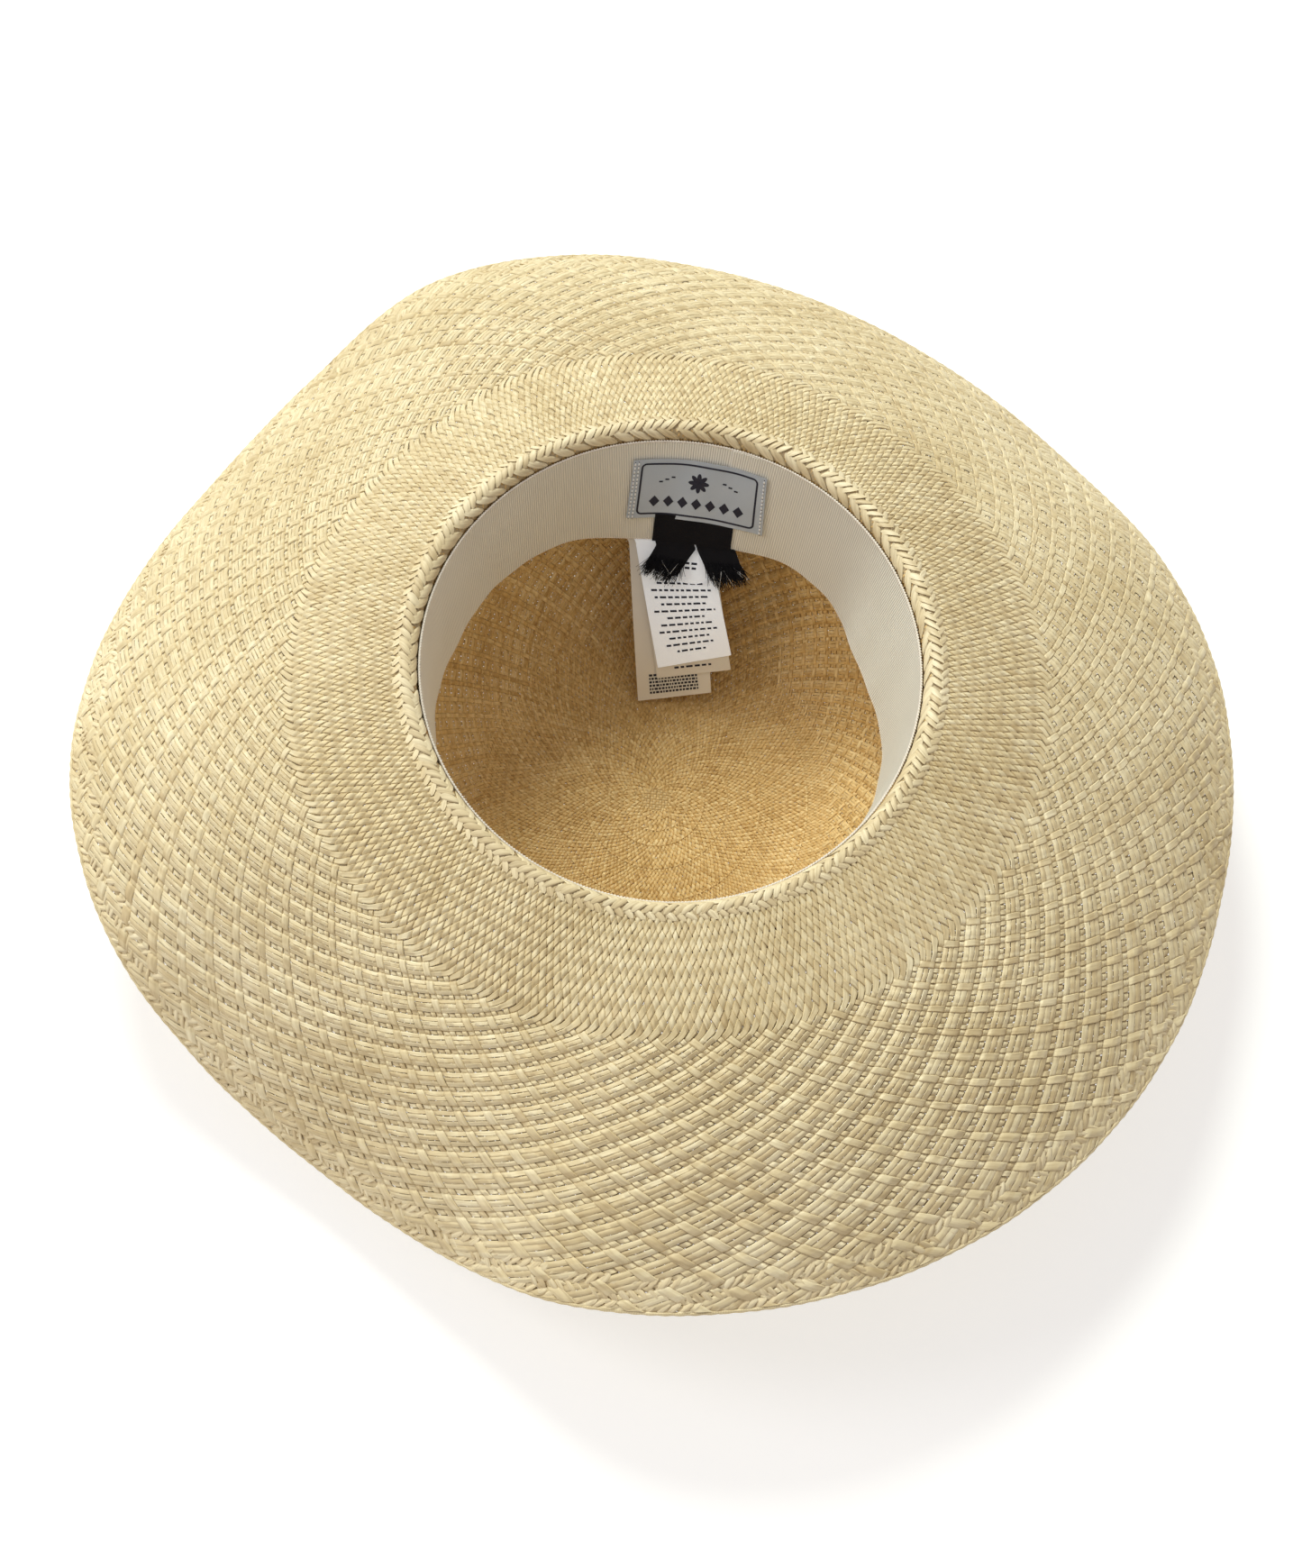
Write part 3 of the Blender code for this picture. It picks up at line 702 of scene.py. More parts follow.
def build_straw():
    # The last colour of each straw is its painted shade, for the dips and the gaps between strands.
    brim = straw_material("straw_brim", (0.60, 0.475, 0.275), (0.745, 0.635, 0.41), (0.84, 0.76, 0.55),
                          (0.20, 0.12, 0.055))
    # Painted shade: the crown's inside is a darker, browner copy of the brim's straw, for the shade inside the
    # crown; its outside keeps the brim's straw.
    crown = straw_material("straw_crown", (0.48, 0.29, 0.095), (0.70, 0.48, 0.20), (0.86, 0.68, 0.37),
                           (0.17, 0.085, 0.025))
    row = straw_material("straw_row", (0.64, 0.52, 0.32), (0.77, 0.66, 0.44), (0.84, 0.75, 0.54),
                         (0.30, 0.205, 0.105))
    meet = -0.5 * CHEVRON_RUN
    weave("brim_strands", "brim", brim, brim, STRANDS, meet, BRIM_WIDTH - 1.2 * MM, 4, 8, 11,
          rings=((COARSE_START, 0.17),), spare=18)
    # Zones of the crown, inwards: the radius in mm where each ends, its strands and its groups of strands
    zones = ((58, STRANDS, 6), (40, 200, 1), (27, 132, 1), (18, 88, 1), (12, 58, 1), (7.5, 38, 1),
             (4.6, 24, 1))
    far = meet + 0.3 * MM
    for zone, (radius, count, groups) in enumerate(zones):
        near = crown_distance(radius * MM)
        weave(f"crown_strands_{zone + 1}", "crown", crown, brim, count, near, far, 3, groups,
              31 + 2 * zone, rings=(CROWN_COARSE,) if zone == 0 else ())
        far = near + 0.8 * MM
    rosette(crown)
    stitch_row("chevron_stitches_inner", "chevron_row", row, 96, -CHEVRON_RUN + 0.2 * MM, -3.2 * MM,
               1.05, 1.0, 0.20 * MM, 0.80 * MM, 0.14 * MM, 51)
    stitch_row("chevron_stitches_middle", "chevron_row", row, 180, -4.6 * MM, 0.2 * MM,
               -1.15, 1.06, 0.22 * MM, 0.84 * MM, -0.22 * MM, 52)
    stitch_row("chevron_stitches_outer", "chevron_row", row, 180, -1.0 * MM, 2.3 * MM,
               0.8, 0.96, 0.22 * MM, 0.56 * MM, 0.18 * MM, 53)
    straw_bed(row)
    rows = 3
    for number in range(rows):
        near = BRIM_WIDTH - BORDER_WIDTH + BORDER_WIDTH * number / rows
        far = near + BORDER_WIDTH / rows + (0.35 * MM if number < rows - 1 else -0.5 * MM)
        stitch_row(f"border_stitches_{number + 1}", "brim_border", row, 420, near - 0.4 * MM, far,
                   1.1 if number % 2 else -1.1, 1.0, 0.56 * MM, 0.04 * MM, 0.3 * MM, 61 + number)
    edge_strand(brim)


def edge_strand(material):
    """Strand that runs along the brim's outer edge, over the ends of the border's stitches."""
    samples, sides = 1800, 8
    theta = np.linspace(0, TAU, samples, endpoint=False)[:, None]
    side = np.arange(sides)[None] * TAU / sides
    pinch = 1 + 0.16 * np.cos(300 * theta)
    distance = BRIM_WIDTH - 0.75 * MM + 0.62 * MM * pinch * np.cos(side) + 0.08 * MM * np.sin(37 * theta)
    lift = 0.62 * MM * pinch * np.sin(side)
    faces = grid_faces(samples, sides, closed_rows=True, closed_columns=True)[:, ::-1]
    row, column = np.divmod(np.arange(samples * sides), sides)
    bake = cell_shares(column, row, sides, samples)[..., ::-1]
    # Painted light and shade: the strand is painted lighter on its side towards the head and darker on the
    # other.
    flat = np.full(samples * sides, 0.5)
    new_piece("border_edge", straw_point(distance, theta, lift), faces, material, sharp=80,
              stands_for=("brim_border",), slot="straw_brim",
              maps={"fibre": bake[..., ::-1] * (4 * MM, 1.2), "OFBake": bake},
              values={"tint": flat, "shade": 0.6 + 0.25 * np.sin(side) + 0 * theta})


def crown_distance(radius):
    """Distance at which the crown's layout radius is this."""
    inside = DISTANCES < -CHEVRON_RUN
    return float(np.interp(radius, layout_radius(DISTANCES[inside]), DISTANCES[inside]))


# ---------------------------------------------------------------- lining

def metre_map(rows, columns, length, width):
    """UV map in metres for cloth_faces, x along the columns and y along the rows."""
    row, column = np.meshgrid(np.linspace(0, length, rows), np.linspace(0, width, columns), indexing="ij")
    front = np.stack((column, row), axis=-1).reshape(-1, 2)
    return np.concatenate((front, front))[cloth_faces(rows, columns)]


def cloth_piece(name, front, back, material, size, **piece):
    """Thin closed sheet between two grids of points, rows down its length and columns across its width."""
    rows, columns = front.shape[:2]
    width, length = size
    maps = {"weave": metre_map(rows, columns, length, width), "OFBake": bake_map(rows, columns)}
    return new_piece(name, np.stack((front, back)), cloth_faces(rows, columns), material, sharp=70, maps=maps,
                     **piece)


BAND_LENGTH = 0.5603
BAND_RIBS = 600


def band_waves(theta, down):
    """Soft waves of the ribbon away from the label, growing towards its lower edge."""
    away = 1 - np.exp(-((np.angle(np.exp(1j * (theta - LABEL_ANGLE))) / 0.62) ** 4))
    wave = np.sin(7 * theta + 0.6) + 0.6 * np.sin(13 * theta + 2.1) + 0.35 * np.sin(29 * theta)
    return 0.45 * MM * away * wave * (down / BAND_WIDTH) ** 1.4


def build_sweatband(material, edge_material):
    columns, downs = 4 * BAND_RIBS, 14
    theta = np.arange(columns) * TAU / columns
    down = np.linspace(0.2 * MM, BAND_WIDTH - 0.2 * MM, downs)[:, None]
    rib = 0.075 * MM * np.cos(BAND_RIBS * theta)
    seam = LABEL_ANGLE - 0.125
    past = (seam - theta) % TAU
    lap = 0.16
    overlap = 0.35 * MM * np.clip(past / 0.006, 0, 1) * np.clip((lap - past) / 0.05, 0, 1)
    wave = band_waves(theta, down)
    face = band_point(theta, down, rib + overlap + wave)
    back = band_point(theta, down, wave - BAND_THICKNESS)
    front_faces = grid_faces(downs, columns, closed_columns=True)
    behind = downs * columns
    index = np.arange(columns)
    after = (index + 1) % columns
    top = np.stack((index, after, after + behind, index + behind), axis=1)
    bottom = behind - columns + np.stack((after, index, index + behind, after + behind), axis=1)
    faces = np.concatenate((front_faces, front_faces[:, ::-1] + behind, top, bottom))
    column = np.concatenate((np.tile(index, downs - 1),) * 2 + (index, index))
    row = np.concatenate((np.repeat(np.arange(downs - 1), columns),) * 2 + (0 * index, 0 * index + downs - 2))
    place = cell_shares(row, column, downs - 1, columns)[..., ::-1]
    bake = place.copy()
    half = len(front_faces)
    bake[:half, :, 1] = place[:half, :, 1] * 0.47
    bake[half:2 * half, :, 1] = 0.5 + place[half:2 * half, :, 1] * 0.47
    bake[2 * half:, :, 1] = 0.975 + place[2 * half:, :, 1] * 0.02
    band = new_piece("sweatband_ribbon", np.stack((face, back)), faces, material, sharp=70,
                     stands_for=("sweatband",), slot="ribbon_cream",
                     maps={"weave": place * (BAND_LENGTH, BAND_WIDTH), "OFBake": bake})
    upper = selvedge("sweatband_edge_upper", 0.0, 0.42 * MM, 520, edge_material)
    lower = selvedge("sweatband_edge_lower", BAND_WIDTH, 0.34 * MM, 560, edge_material)


def selvedge(name, down, radius, turns, material):
    """Fine twisted cord along one edge of the sweatband."""
    samples, sides = 5, 6
    theta = np.arange(turns * samples)[:, None] * TAU / (turns * samples)
    side = np.arange(sides)[None] * TAU / sides
    swell = radius * (1 + 0.42 * np.cos(turns * theta + side))
    lift = -BAND_THICKNESS / 2 + band_waves(theta, np.full_like(theta, down)) + swell * np.cos(side)
    points = band_point(theta, down + swell * np.sin(side), lift)
    faces = grid_faces(turns * samples, sides, closed_rows=True, closed_columns=True)
    row, column = np.divmod(np.arange(len(faces)), sides)
    return new_piece(name, points, faces, material, sharp=80, slot="ribbon_cream",
                     stands_for=("sweatband_thread",),
                     maps={"OFBake": cell_shares(row, column, turns * samples, sides)})


def label_wave(right, down):
    """Slight cockle of the label between its two sewn ends."""
    free = 1 - (2 * np.abs(right) / LABEL_WIDTH) ** 4
    return 0.22 * MM * free * (np.sin(190 * right + 0.8) + 0.7 * np.sin(340 * right + 120 * down))


def label_surface(right, down, lift):
    """Point of the label's cloth, down from its upper edge."""
    right, down, lift = np.broadcast_arrays(right, down, lift)
    return label_point(right, LABEL_TOP + down, LABEL_LIFT + 0.35 * MM + label_wave(right, down) + lift)


def strip_on(surface, path, width, thickness, closed):
    """Flat strip of a given width that follows a path of (right, down) on a surface, as arrays."""
    path = np.asarray(path, float)
    ahead = np.roll(path, -1, axis=0) - np.roll(path, 1, axis=0)
    if not closed:
        ahead[0], ahead[-1] = path[1] - path[0], path[-1] - path[-2]
    ahead /= np.linalg.norm(ahead, axis=1, keepdims=True)
    side = np.stack((-ahead[:, 1], ahead[:, 0]), axis=1) * width / 2
    places = np.stack((path - side, path + side), axis=1)
    top = surface(places[..., 0], places[..., 1], thickness)
    bottom = surface(places[..., 0], places[..., 1], 0.0)
    points = np.concatenate((top[:, :1], top[:, 1:], bottom[:, 1:], bottom[:, :1]), axis=1)
    faces = grid_faces(len(path), 4, closed_rows=closed, closed_columns=True)
    if not closed:
        last = 4 * (len(path) - 1)
        faces = np.concatenate((faces, ((0, 1, 2, 3), (last + 3, last + 2, last + 1, last))))
    return points.reshape(-1, 3), faces


def joined(shapes):
    """Several (points, faces) as one."""
    points, faces, start = [], [], 0
    for some_points, some_faces in shapes:
        points.append(some_points)
        faces.append(some_faces + start)
        start += len(some_points)
    return np.concatenate(points), np.concatenate(faces)


def rounded_rectangle(half_width, half_height, radius, centre):
    """Closed path with round corners, clockwise from its lower right corner."""
    corners = ((1, 1, 0), (-1, 1, 90), (-1, -1, 180), (1, -1, 270))
    path = []
    for x, y, start in corners:
        for step in range(7):
            angle = math.radians(start + 15 * step)
            path.append((centre[0] + x * (half_width - radius) + radius * math.cos(angle),
                         centre[1] + y * (half_height - radius) + radius * math.sin(angle)))
    return filled(np.array(path), 1.2 * MM)


def filled(path, step):
    """Closed path with points added so that no stretch is longer than step."""
    places = []
    for start, end in zip(path, np.roll(path, -1, axis=0)):
        parts = max(1, math.ceil(np.linalg.norm(end - start) / step))
        places += [start + (end - start) * part / parts for part in range(parts)]
    return np.array(places)


def dash(centre, length, pieces=4):
    """Straight path of a given length about a centre."""
    return np.array(centre) + np.linspace(-length / 2, length / 2, pieces + 1)[:, None] * (1.0, 0.0)


def petal(centre, angle, length, width):
    """Closed leaf-shaped outline that starts at the centre."""
    t = np.linspace(0, math.pi, 11)
    out = (1 - np.cos(t)) / 2 * length
    half = np.sin(t) * width / 2
    outline = np.concatenate((np.stack((out, half), axis=1), np.stack((out, -half), axis=1)[-2:0:-1]))
    turn = np.array(((math.cos(angle), math.sin(angle)), (-math.sin(angle), math.cos(angle))))
    return np.array(centre) + outline @ turn


def plate_on(surface, outline, thickness):
    """Small filled shape on a surface, from a convex outline of (right, down)."""
    outline = np.asarray(outline, float)
    middle = outline.mean(axis=0)
    ring = np.stack((outline, (outline + middle) / 2, 0 * outline + middle))
    top = surface(ring[..., 0], ring[..., 1], thickness)
    low = surface(ring[:1, :, 0], ring[:1, :, 1], 0.0)
    points = np.concatenate((low, top))
    return points.reshape(-1, 3), grid_faces(4, len(outline), closed_columns=True)


LABEL_SEAMS = (-LABEL_WIDTH / 2 + 0.7 * MM, -LABEL_WIDTH / 2 + 2.0 * MM, LABEL_WIDTH / 2 - 0.9 * MM)
STITCH_PITCH = 1.55 * MM
LABEL_STITCHES = 15


def build_label(satin, thread, print_material):
    rows, columns = 20, 40
    down = np.linspace(0, LABEL_HEIGHT, rows)[:, None]
    right = np.linspace(-LABEL_WIDTH / 2, LABEL_WIDTH / 2, columns)[None]
    front = label_surface(right, down, 0.0)
    back = label_surface(right, down, -0.25 * MM)
    cloth = cloth_piece("label_cloth", front, back, satin, (LABEL_WIDTH, LABEL_HEIGHT), stands_for=("label",),
                        slot="satin_label")
    raised = 0.07 * MM
    middle = (0.0, LABEL_HEIGHT / 2)
    outline = rounded_rectangle(LABEL_WIDTH / 2 - 3.4 * MM, LABEL_HEIGHT / 2 - 1.8 * MM, 1.6 * MM, middle)
    shapes = [strip_on(label_surface, outline, 0.7 * MM, raised, closed=True)]
    flower = (0.0, 8.6 * MM)
    for step in range(8):
        shapes.append(plate_on(label_surface, petal(flower, TAU * step / 8, 3.9 * MM, 1.7 * MM), raised))
    for side in (-1, 1):
        for step in range(3):
            path = dash((side * (9.5 + 2.2 * step) * MM, (7.2 + 0.9 * step) * MM), 1.4 * MM)
            shapes.append(strip_on(label_surface, path, 0.6 * MM, raised, closed=False))
    for step in range(7):
        centre = ((step - 3) * 5.2 * MM, 17.0 * MM)
        shapes.append(plate_on(label_surface, filled(diamond(centre, 3.9 * MM, 4.6 * MM), 0.6 * MM), raised))
    for column in LABEL_SEAMS:
        for number in range(LABEL_STITCHES + 1):
            hole = dash((column, 0.8 * MM + number * STITCH_PITCH), 0.3 * MM, pieces=1)
            shapes.append(strip_on(label_surface, hole, 0.42 * MM, 0.03 * MM, closed=False))
    points, faces = joined(shapes)
    motif = new_piece("label_motif", points, faces, print_material, sharp=40, slot="satin_label")
    left = stitches("label_stitches_left", LABEL_SEAMS[:2], thread, "label_thread_left")
    right = stitches("label_stitches_right", LABEL_SEAMS[2:], thread, "label_thread_right")


def diamond(centre, width, height):
    """Outline of a diamond, point up."""
    return np.array(centre) + np.array(((width / 2, 0), (0, height / 2), (-width / 2, 0), (0, -height / 2)))


def stitches(name, columns, material, node):
    """Short raised stitches in rows down the label's end."""
    stations, sides = 6, 6
    t = np.linspace(0, 1, stations)[:, None]
    angle = np.arange(sides)[None] * TAU / sides
    body = np.sin(math.pi * (0.1 + 0.8 * t)) ** 0.5
    shapes = []
    for right in columns:
        for number in range(LABEL_STITCHES):
            start = 1.0 * MM + number * STITCH_PITCH
            down = start + 1.15 * MM * t + 0 * angle
            across = right + 0.32 * MM * body * np.cos(angle)
            lift = 0.06 * MM + 0.26 * MM * body * np.sin(angle) + 0.2 * MM * np.sin(math.pi * t)
            points = label_surface(across, down, lift).reshape(-1, 3)
            shapes.append((points, tube_faces(stations, sides)))
    points, faces = joined(shapes)
    return new_piece(name, points, faces, material, sharp=80, stands_for=(node,), slot="thread_white")


# ---------------------------------------------------------------- flaps

def flap_surface(axis, size, turn, lean, bow, root_down, root_lift, ripple=0.0, narrow=0.0, shift=0.0):
    """Function of (across, along, lift) on a flap: across -0.5 to 0.5, along in metres from its axis line.

    Below its axis the flap leans out, turns to one side and bows. Above it, along is negative and the
    flap rises to where it is sewn in, on or behind the sweatband.
    """
    width, length = size
    turn, lean = math.radians(turn), math.radians(lean)
    axis = np.array(axis)

    def below(across, along, lift):
        share = along / length
        across = across * (1 - narrow * share) + shift * share
        top_x = across * width
        bottom_x = across * width * math.cos(turn) + length * math.sin(turn)
        bottom_y = length * math.cos(turn) - across * width * math.sin(turn)
        x = top_x + (bottom_x - top_x) * share
        y = FLAP_START + (bottom_y - FLAP_START) * share
        off = lift + bow * np.sin(math.pi * share)
        off = off + ripple * np.sin(9 * across + 5 * share) * np.sin(math.pi * np.minimum(share, 1) * 0.8)
        forward = y * math.sin(lean) + off * math.cos(lean)
        drop = y * math.cos(lean) - off * math.sin(lean)
        return axis + np.stack((x, -forward, -drop), axis=-1)

    def above(across, rise, lift):
        foot = below(across, 0 * rise, lift)
        right = foot[..., 0] - math.cos(LABEL_ANGLE) * OPENING_HALF_X + 0 * rise
        sewn = label_point(right, root_down + 0 * rise, root_lift + lift)
        t = np.clip(rise, 0, 1)[..., None]
        down_flap = np.array((0, -math.sin(lean), -math.cos(lean)))
        down_band = np.array((0, -0.33, -0.94))
        reach = np.linalg.norm(sewn - foot, axis=-1, keepdims=True) / 3
        first, second = foot - down_flap * reach, sewn + down_band * reach
        return (1 - t) ** 3 * foot + 3 * t * (1 - t) * ((1 - t) * first + t * second) + t**3 * sewn

    def surface(across, along, lift):
        across, along, lift = np.broadcast_arrays(across, along, lift)
        rise = np.clip(-along / FLAP_SEAM, 0, 1)
        hanging = below(across, np.maximum(along, 0), lift)
        return np.where((along < 0)[..., None], above(across, rise, lift), hanging)

    return surface


def flap_piece(name, node, surface, size, thickness, material, slot, rows=22, columns=14, end=None):
    """Cloth flap from a flap_surface, blended at its top into the hat's body."""
    width, length = size
    above = 6
    rise = np.linspace(-FLAP_SEAM, -0.1 * FLAP_SEAM, above)
    along = np.concatenate((rise, np.linspace(0, length, rows)))[:, None]
    across = np.linspace(-0.5, 0.5, columns)[None]
    if end is not None:
        along = np.where(along > 0, along * end(across), along)
    front = surface(across, along, thickness / 2)
    back = surface(across, along, -thickness / 2)
    piece = cloth_piece(name, front, back, material, (width, length + FLAP_SEAM), body=None,
                        stands_for=(node,), slot=slot)
    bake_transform(piece)
    return piece


def print_rows(node, surface, rows, width, material, seed, longest=2.6 * MM, space=0.75 * MM):
    """Piece of short dark dashes in rows on a flap: rows hold (along, length share, height)."""
    random = chance(seed)
    shapes = []

    def raised(right, down, lift):
        return surface(right / width, down, lift + 0.16 * MM)

    for along, share, height in rows:
        reach = share * width / 2
        place = -reach
        while place < reach - 0.4 * MM:
            long = min(random.uniform(0.35, 1.0) * longest, reach - place)
            path = np.stack((np.linspace(place, place + long, 3), np.full(3, along)), axis=1)
            shapes.append(strip_on(raised, path, height, 0.04 * MM, closed=False))
            place += long + space
    points, faces = joined(shapes)
    return new_piece(f"{node}_print", points, faces, material, sharp=40, body=node, slot="satin_care")


def build_leaves(satin, shaded_cream, ink):
    spare = (LEAF_WIDTH - LEAF_CLOTH) / 2
    front_rows = [(6 * MM, 0.55, 1.1 * MM), (8.6 * MM, 0.42, 1.0 * MM)]
    for step, share in enumerate((0.62, 0.8, 0.74, 0.6, 0.82, 0.5, 0.7, 0.78, 0.55, 0.66, 0.4)):
        front_rows.append((13 * MM + 2.6 * MM * step, share, 0.75 * MM))
    middle_rows = [(45.1 * MM, 0.5, 0.8 * MM)]
    back_rows = [(48.1 * MM + 1.35 * MM * step, 0.66, 0.85 * MM) for step in range(6)]
    dense = {"longest": 1.3 * MM, "space": 0.35 * MM}
    # Each leaf from the front: name, length, turn and lean in degrees, place along X, skew, cloth and print
    leaves = (("front", 0.044, 16, 42, spare, 0.0, satin, front_rows, {}),
              ("middle", 0.0485, 13, 40.5, 0.0015 + spare, 0.0, shaded_cream, middle_rows, {}),
              ("back", 0.0575, 13, 39, -0.0025 + spare, -2 * spare / LEAF_CLOTH, shaded_cream, back_rows, dense))
    for place, (name, length, turn, lean, along_x, skew, material, rows, style) in enumerate(leaves):
        node = f"care_leaf_{name}"
        axis = np.array(LEAF_AXIS) + place * np.array(LEAF_STEP) + (along_x, 0, 0)
        size = (LEAF_CLOTH, length)
        surface = flap_surface(axis, size, turn, lean, LEAF_BOW, BAND_WIDTH - 0.5 * MM,
                               -BAND_THICKNESS - 0.6 * MM - 0.3 * MM * place, ripple=0.15 * MM, shift=skew)
        cloth = flap_piece(f"{node}_cloth", node, surface, size, 0.22 * MM, material, "satin_care")
        marks = print_rows(node, surface, rows, LEAF_CLOTH, ink, 80 + place, **style)


def build_root(satin):
    """Sewn-down upper part of the care leaves, behind the ribbon."""
    size = (LEAF_WIDTH, 0.0104)
    down = BAND_WIDTH - 0.3 * MM - np.linspace(size[1], 0, 8)[:, None]
    right = -0.008 + np.linspace(-0.5, 0.5, 18)[None] * size[0]
    wave = 0.06 * MM * np.sin(700 * right + 200 * down)
    front = label_point(right, down, -BAND_THICKNESS - 0.12 * MM + wave)
    back = label_point(right, down, -BAND_THICKNESS - 0.38 * MM + wave)
    root = cloth_piece("care_root_cloth", front, back, satin, size, stands_for=("care_root",),
                       slot="satin_care")


def build_tag(satin, ink):
    size = (0.012, 0.0135)
    surface = flap_surface(TAG_AXIS, size, 0, 54, 0.4 * MM, BAND_WIDTH, -BAND_THICKNESS - 0.3 * MM)
    cloth = flap_piece("size_tag_cloth", "size_tag", surface, size, 0.22 * MM, satin, "satin_care", rows=12,
                       columns=12, end=lambda across: 1 - 0.16 * (2 * np.abs(across)) ** 3)
    rows = [(along, 0.42, 0.9 * MM) for along in (5.5 * MM, 7.4 * MM)]
    marks = print_rows("size_tag", surface, rows, size[0], ink, 90)


def fringe(name, surface, places, length, spread, thickness, rise, seed, material, slot, body="hat"):
    """Piece of loose threads that start at (across, along) on a surface, run on along it and rise off it."""
    random = chance(seed)
    shapes = []
    stations, sides = 6, 4
    t = np.linspace(0, 1, stations)[:, None]
    side = np.arange(sides)[None] * TAU / sides
    taper = thickness / 2 * (1 - 0.45 * t)
    for across, along in places:
        run = length * random.uniform(0.45, 1.0)
        drift = spread * random.normal(0, 1)
        high = rise * random.uniform(0.0, 1.0)
        wave = random.uniform(0.2, 0.6) * MM * np.sin(random.uniform(3, 8) * t + random.uniform(0, TAU)) * t
        lift = high * np.sin(math.pi * np.minimum(t * 0.9, 1)) + wave + taper * np.sin(side)
        right = across + drift * t**1.4 + taper * np.cos(side) / (14 * MM)
        points = surface(right, along + run * t + 0 * side, lift)
        shapes.append((points.reshape(-1, 3), tube_faces(stations, sides)))
    points, faces = joined(shapes)
    return new_piece(name, points, faces, material, sharp=80, body=body, slot=slot)


def build_tape(twill, loose, white):
    rows, columns = 10, 30
    top, bottom = LABEL_TOP + LABEL_HEIGHT - 1.5 * MM, BAND_WIDTH + 0.2 * MM
    down = np.linspace(top, bottom, rows)[:, None]
    right = np.linspace(-TAPE_WIDTH, TAPE_WIDTH, columns)[None]
    dip = -0.25 * MM * np.exp(-(right / (0.6 * MM)) ** 2)
    size = (2 * TAPE_WIDTH, bottom - top)
    fold = cloth_piece("tape_fold_cloth", label_point(right, down, 1.0 * MM + dip),
                       label_point(right, down, 0.5 * MM + dip), twill, size, stands_for=("tape_fold",),
                       slot="tape_black")
    for name, side in (("left", -1), ("right", 1)):
        node = f"tape_tail_{name}"
        axis = np.array(TAPE_AXIS) + (side * (TAPE_WIDTH / 2 + GAP), 0, 0)
        size = (TAPE_WIDTH, TAPE_LENGTH)
        surface = flap_surface(axis, size, side * TAPE_SPREAD, 60, 0.5 * MM, BAND_WIDTH - 0.4 * MM, 0.75 * MM,
                               narrow=0.22, shift=0.16 * side)
        ragged = chance(90 + side).uniform(0.42, 0.62, 24)
        cloth = flap_piece(f"{node}_cloth", node, surface, size, 0.45 * MM, twill, "tape_black", rows=12,
                           columns=24, end=lambda across, ragged=ragged: ragged[None])
        random = chance(95 + side)
        ends = [(place, random.uniform(0.25, 0.5) * TAPE_LENGTH) for place in random.uniform(-0.5, 0.5, 420)]
        dark = fringe(f"{node}_fray", surface, ends, 9.0 * MM, 0.12, 0.30 * MM, 1.4 * MM, 96 + side, loose,
                      "tape_black", node)
        whites = [(place, 0.4 * TAPE_LENGTH) for place in random.uniform(-0.5, 0.5, 9)]
        pale = fringe(f"{node}_white_threads", surface, whites, 11 * MM, 0.2, 0.2 * MM, 1.9 * MM, 99 + side,
                      white, "thread_white", node)


# ---------------------------------------------------------------- outer band

def build_hatband(twill, loose):
    rows, columns = 14, 240
    theta = np.linspace(0, TAU, columns + 1)
    down = np.linspace(0, HATBAND_WIDTH, rows)[:, None]
    ease = 0.15 * MM * np.sin(11 * theta + 1) * (1 - (2 * down / HATBAND_WIDTH - 1) ** 2)
    edge = 0.10 * MM * np.sin(83 * theta) * np.abs(2 * down / HATBAND_WIDTH - 1) ** 6
    height = HATBAND_TOP - down + edge
    front = wall_outside(theta, height, 1.0 * MM + ease)
    back = wall_outside(theta, height, 0.35 * MM + 0 * ease)
    length = TAU * (OPENING_RADIUS + STRAW)
    band = cloth_piece("hatband_cloth", front, back, twill, (length, HATBAND_WIDTH), stands_for=("hatband",),
                       slot="hatband_black")
    for number, (edge, side) in enumerate(((HATBAND_TOP - HATBAND_WIDTH, -1), (HATBAND_TOP, 1))):
        def surface(across, along, lift, edge=edge, side=side):
            return wall_outside(across, edge + side * (along - 0.3 * MM), 0.7 * MM + lift)

        places = [(place, 0.0) for place in chance(110 + number).uniform(0, TAU, 900)]
        fringe(f"hatband_fray_{number + 1}", surface, places, 1.5 * MM, 0.008, 0.13 * MM,
                            0.2 * MM, 112 + number, loose, "hatband_black")
    build_ends(twill, loose)
    build_keeper(twill)


def build_keeper(twill):
    """Loop of tape over the hatband's two ends, its own ends tucked in above and below."""
    rows, columns = 26, 20
    overhang = 1.2 * MM
    down = np.linspace(-overhang, HATBAND_WIDTH + overhang, rows)[:, None]
    across = np.linspace(-0.5, 0.5, columns)[None]
    share = np.abs(2 * (down + overhang) / (HATBAND_WIDTH + 2 * overhang) - 1)
    lift = 1.0 * MM + 2.0 * MM * (1 - share**6) + 0.25 * MM * (1 - (2 * across) ** 2)
    narrow = 1 - 0.05 * (1 - share**2)
    theta = math.pi + KEEPER_WIDTH * across * narrow / OPENING_HALF_Y
    front = wall_outside(theta, HATBAND_TOP - down, lift)
    back = wall_outside(theta, HATBAND_TOP - down, lift - 0.6 * MM)
    size = (KEEPER_WIDTH, HATBAND_WIDTH + 2 * overhang)
    keeper = cloth_piece("keeper_cloth", front, back, twill, size, stands_for=("hatband_keeper",),
                         slot="hatband_black")


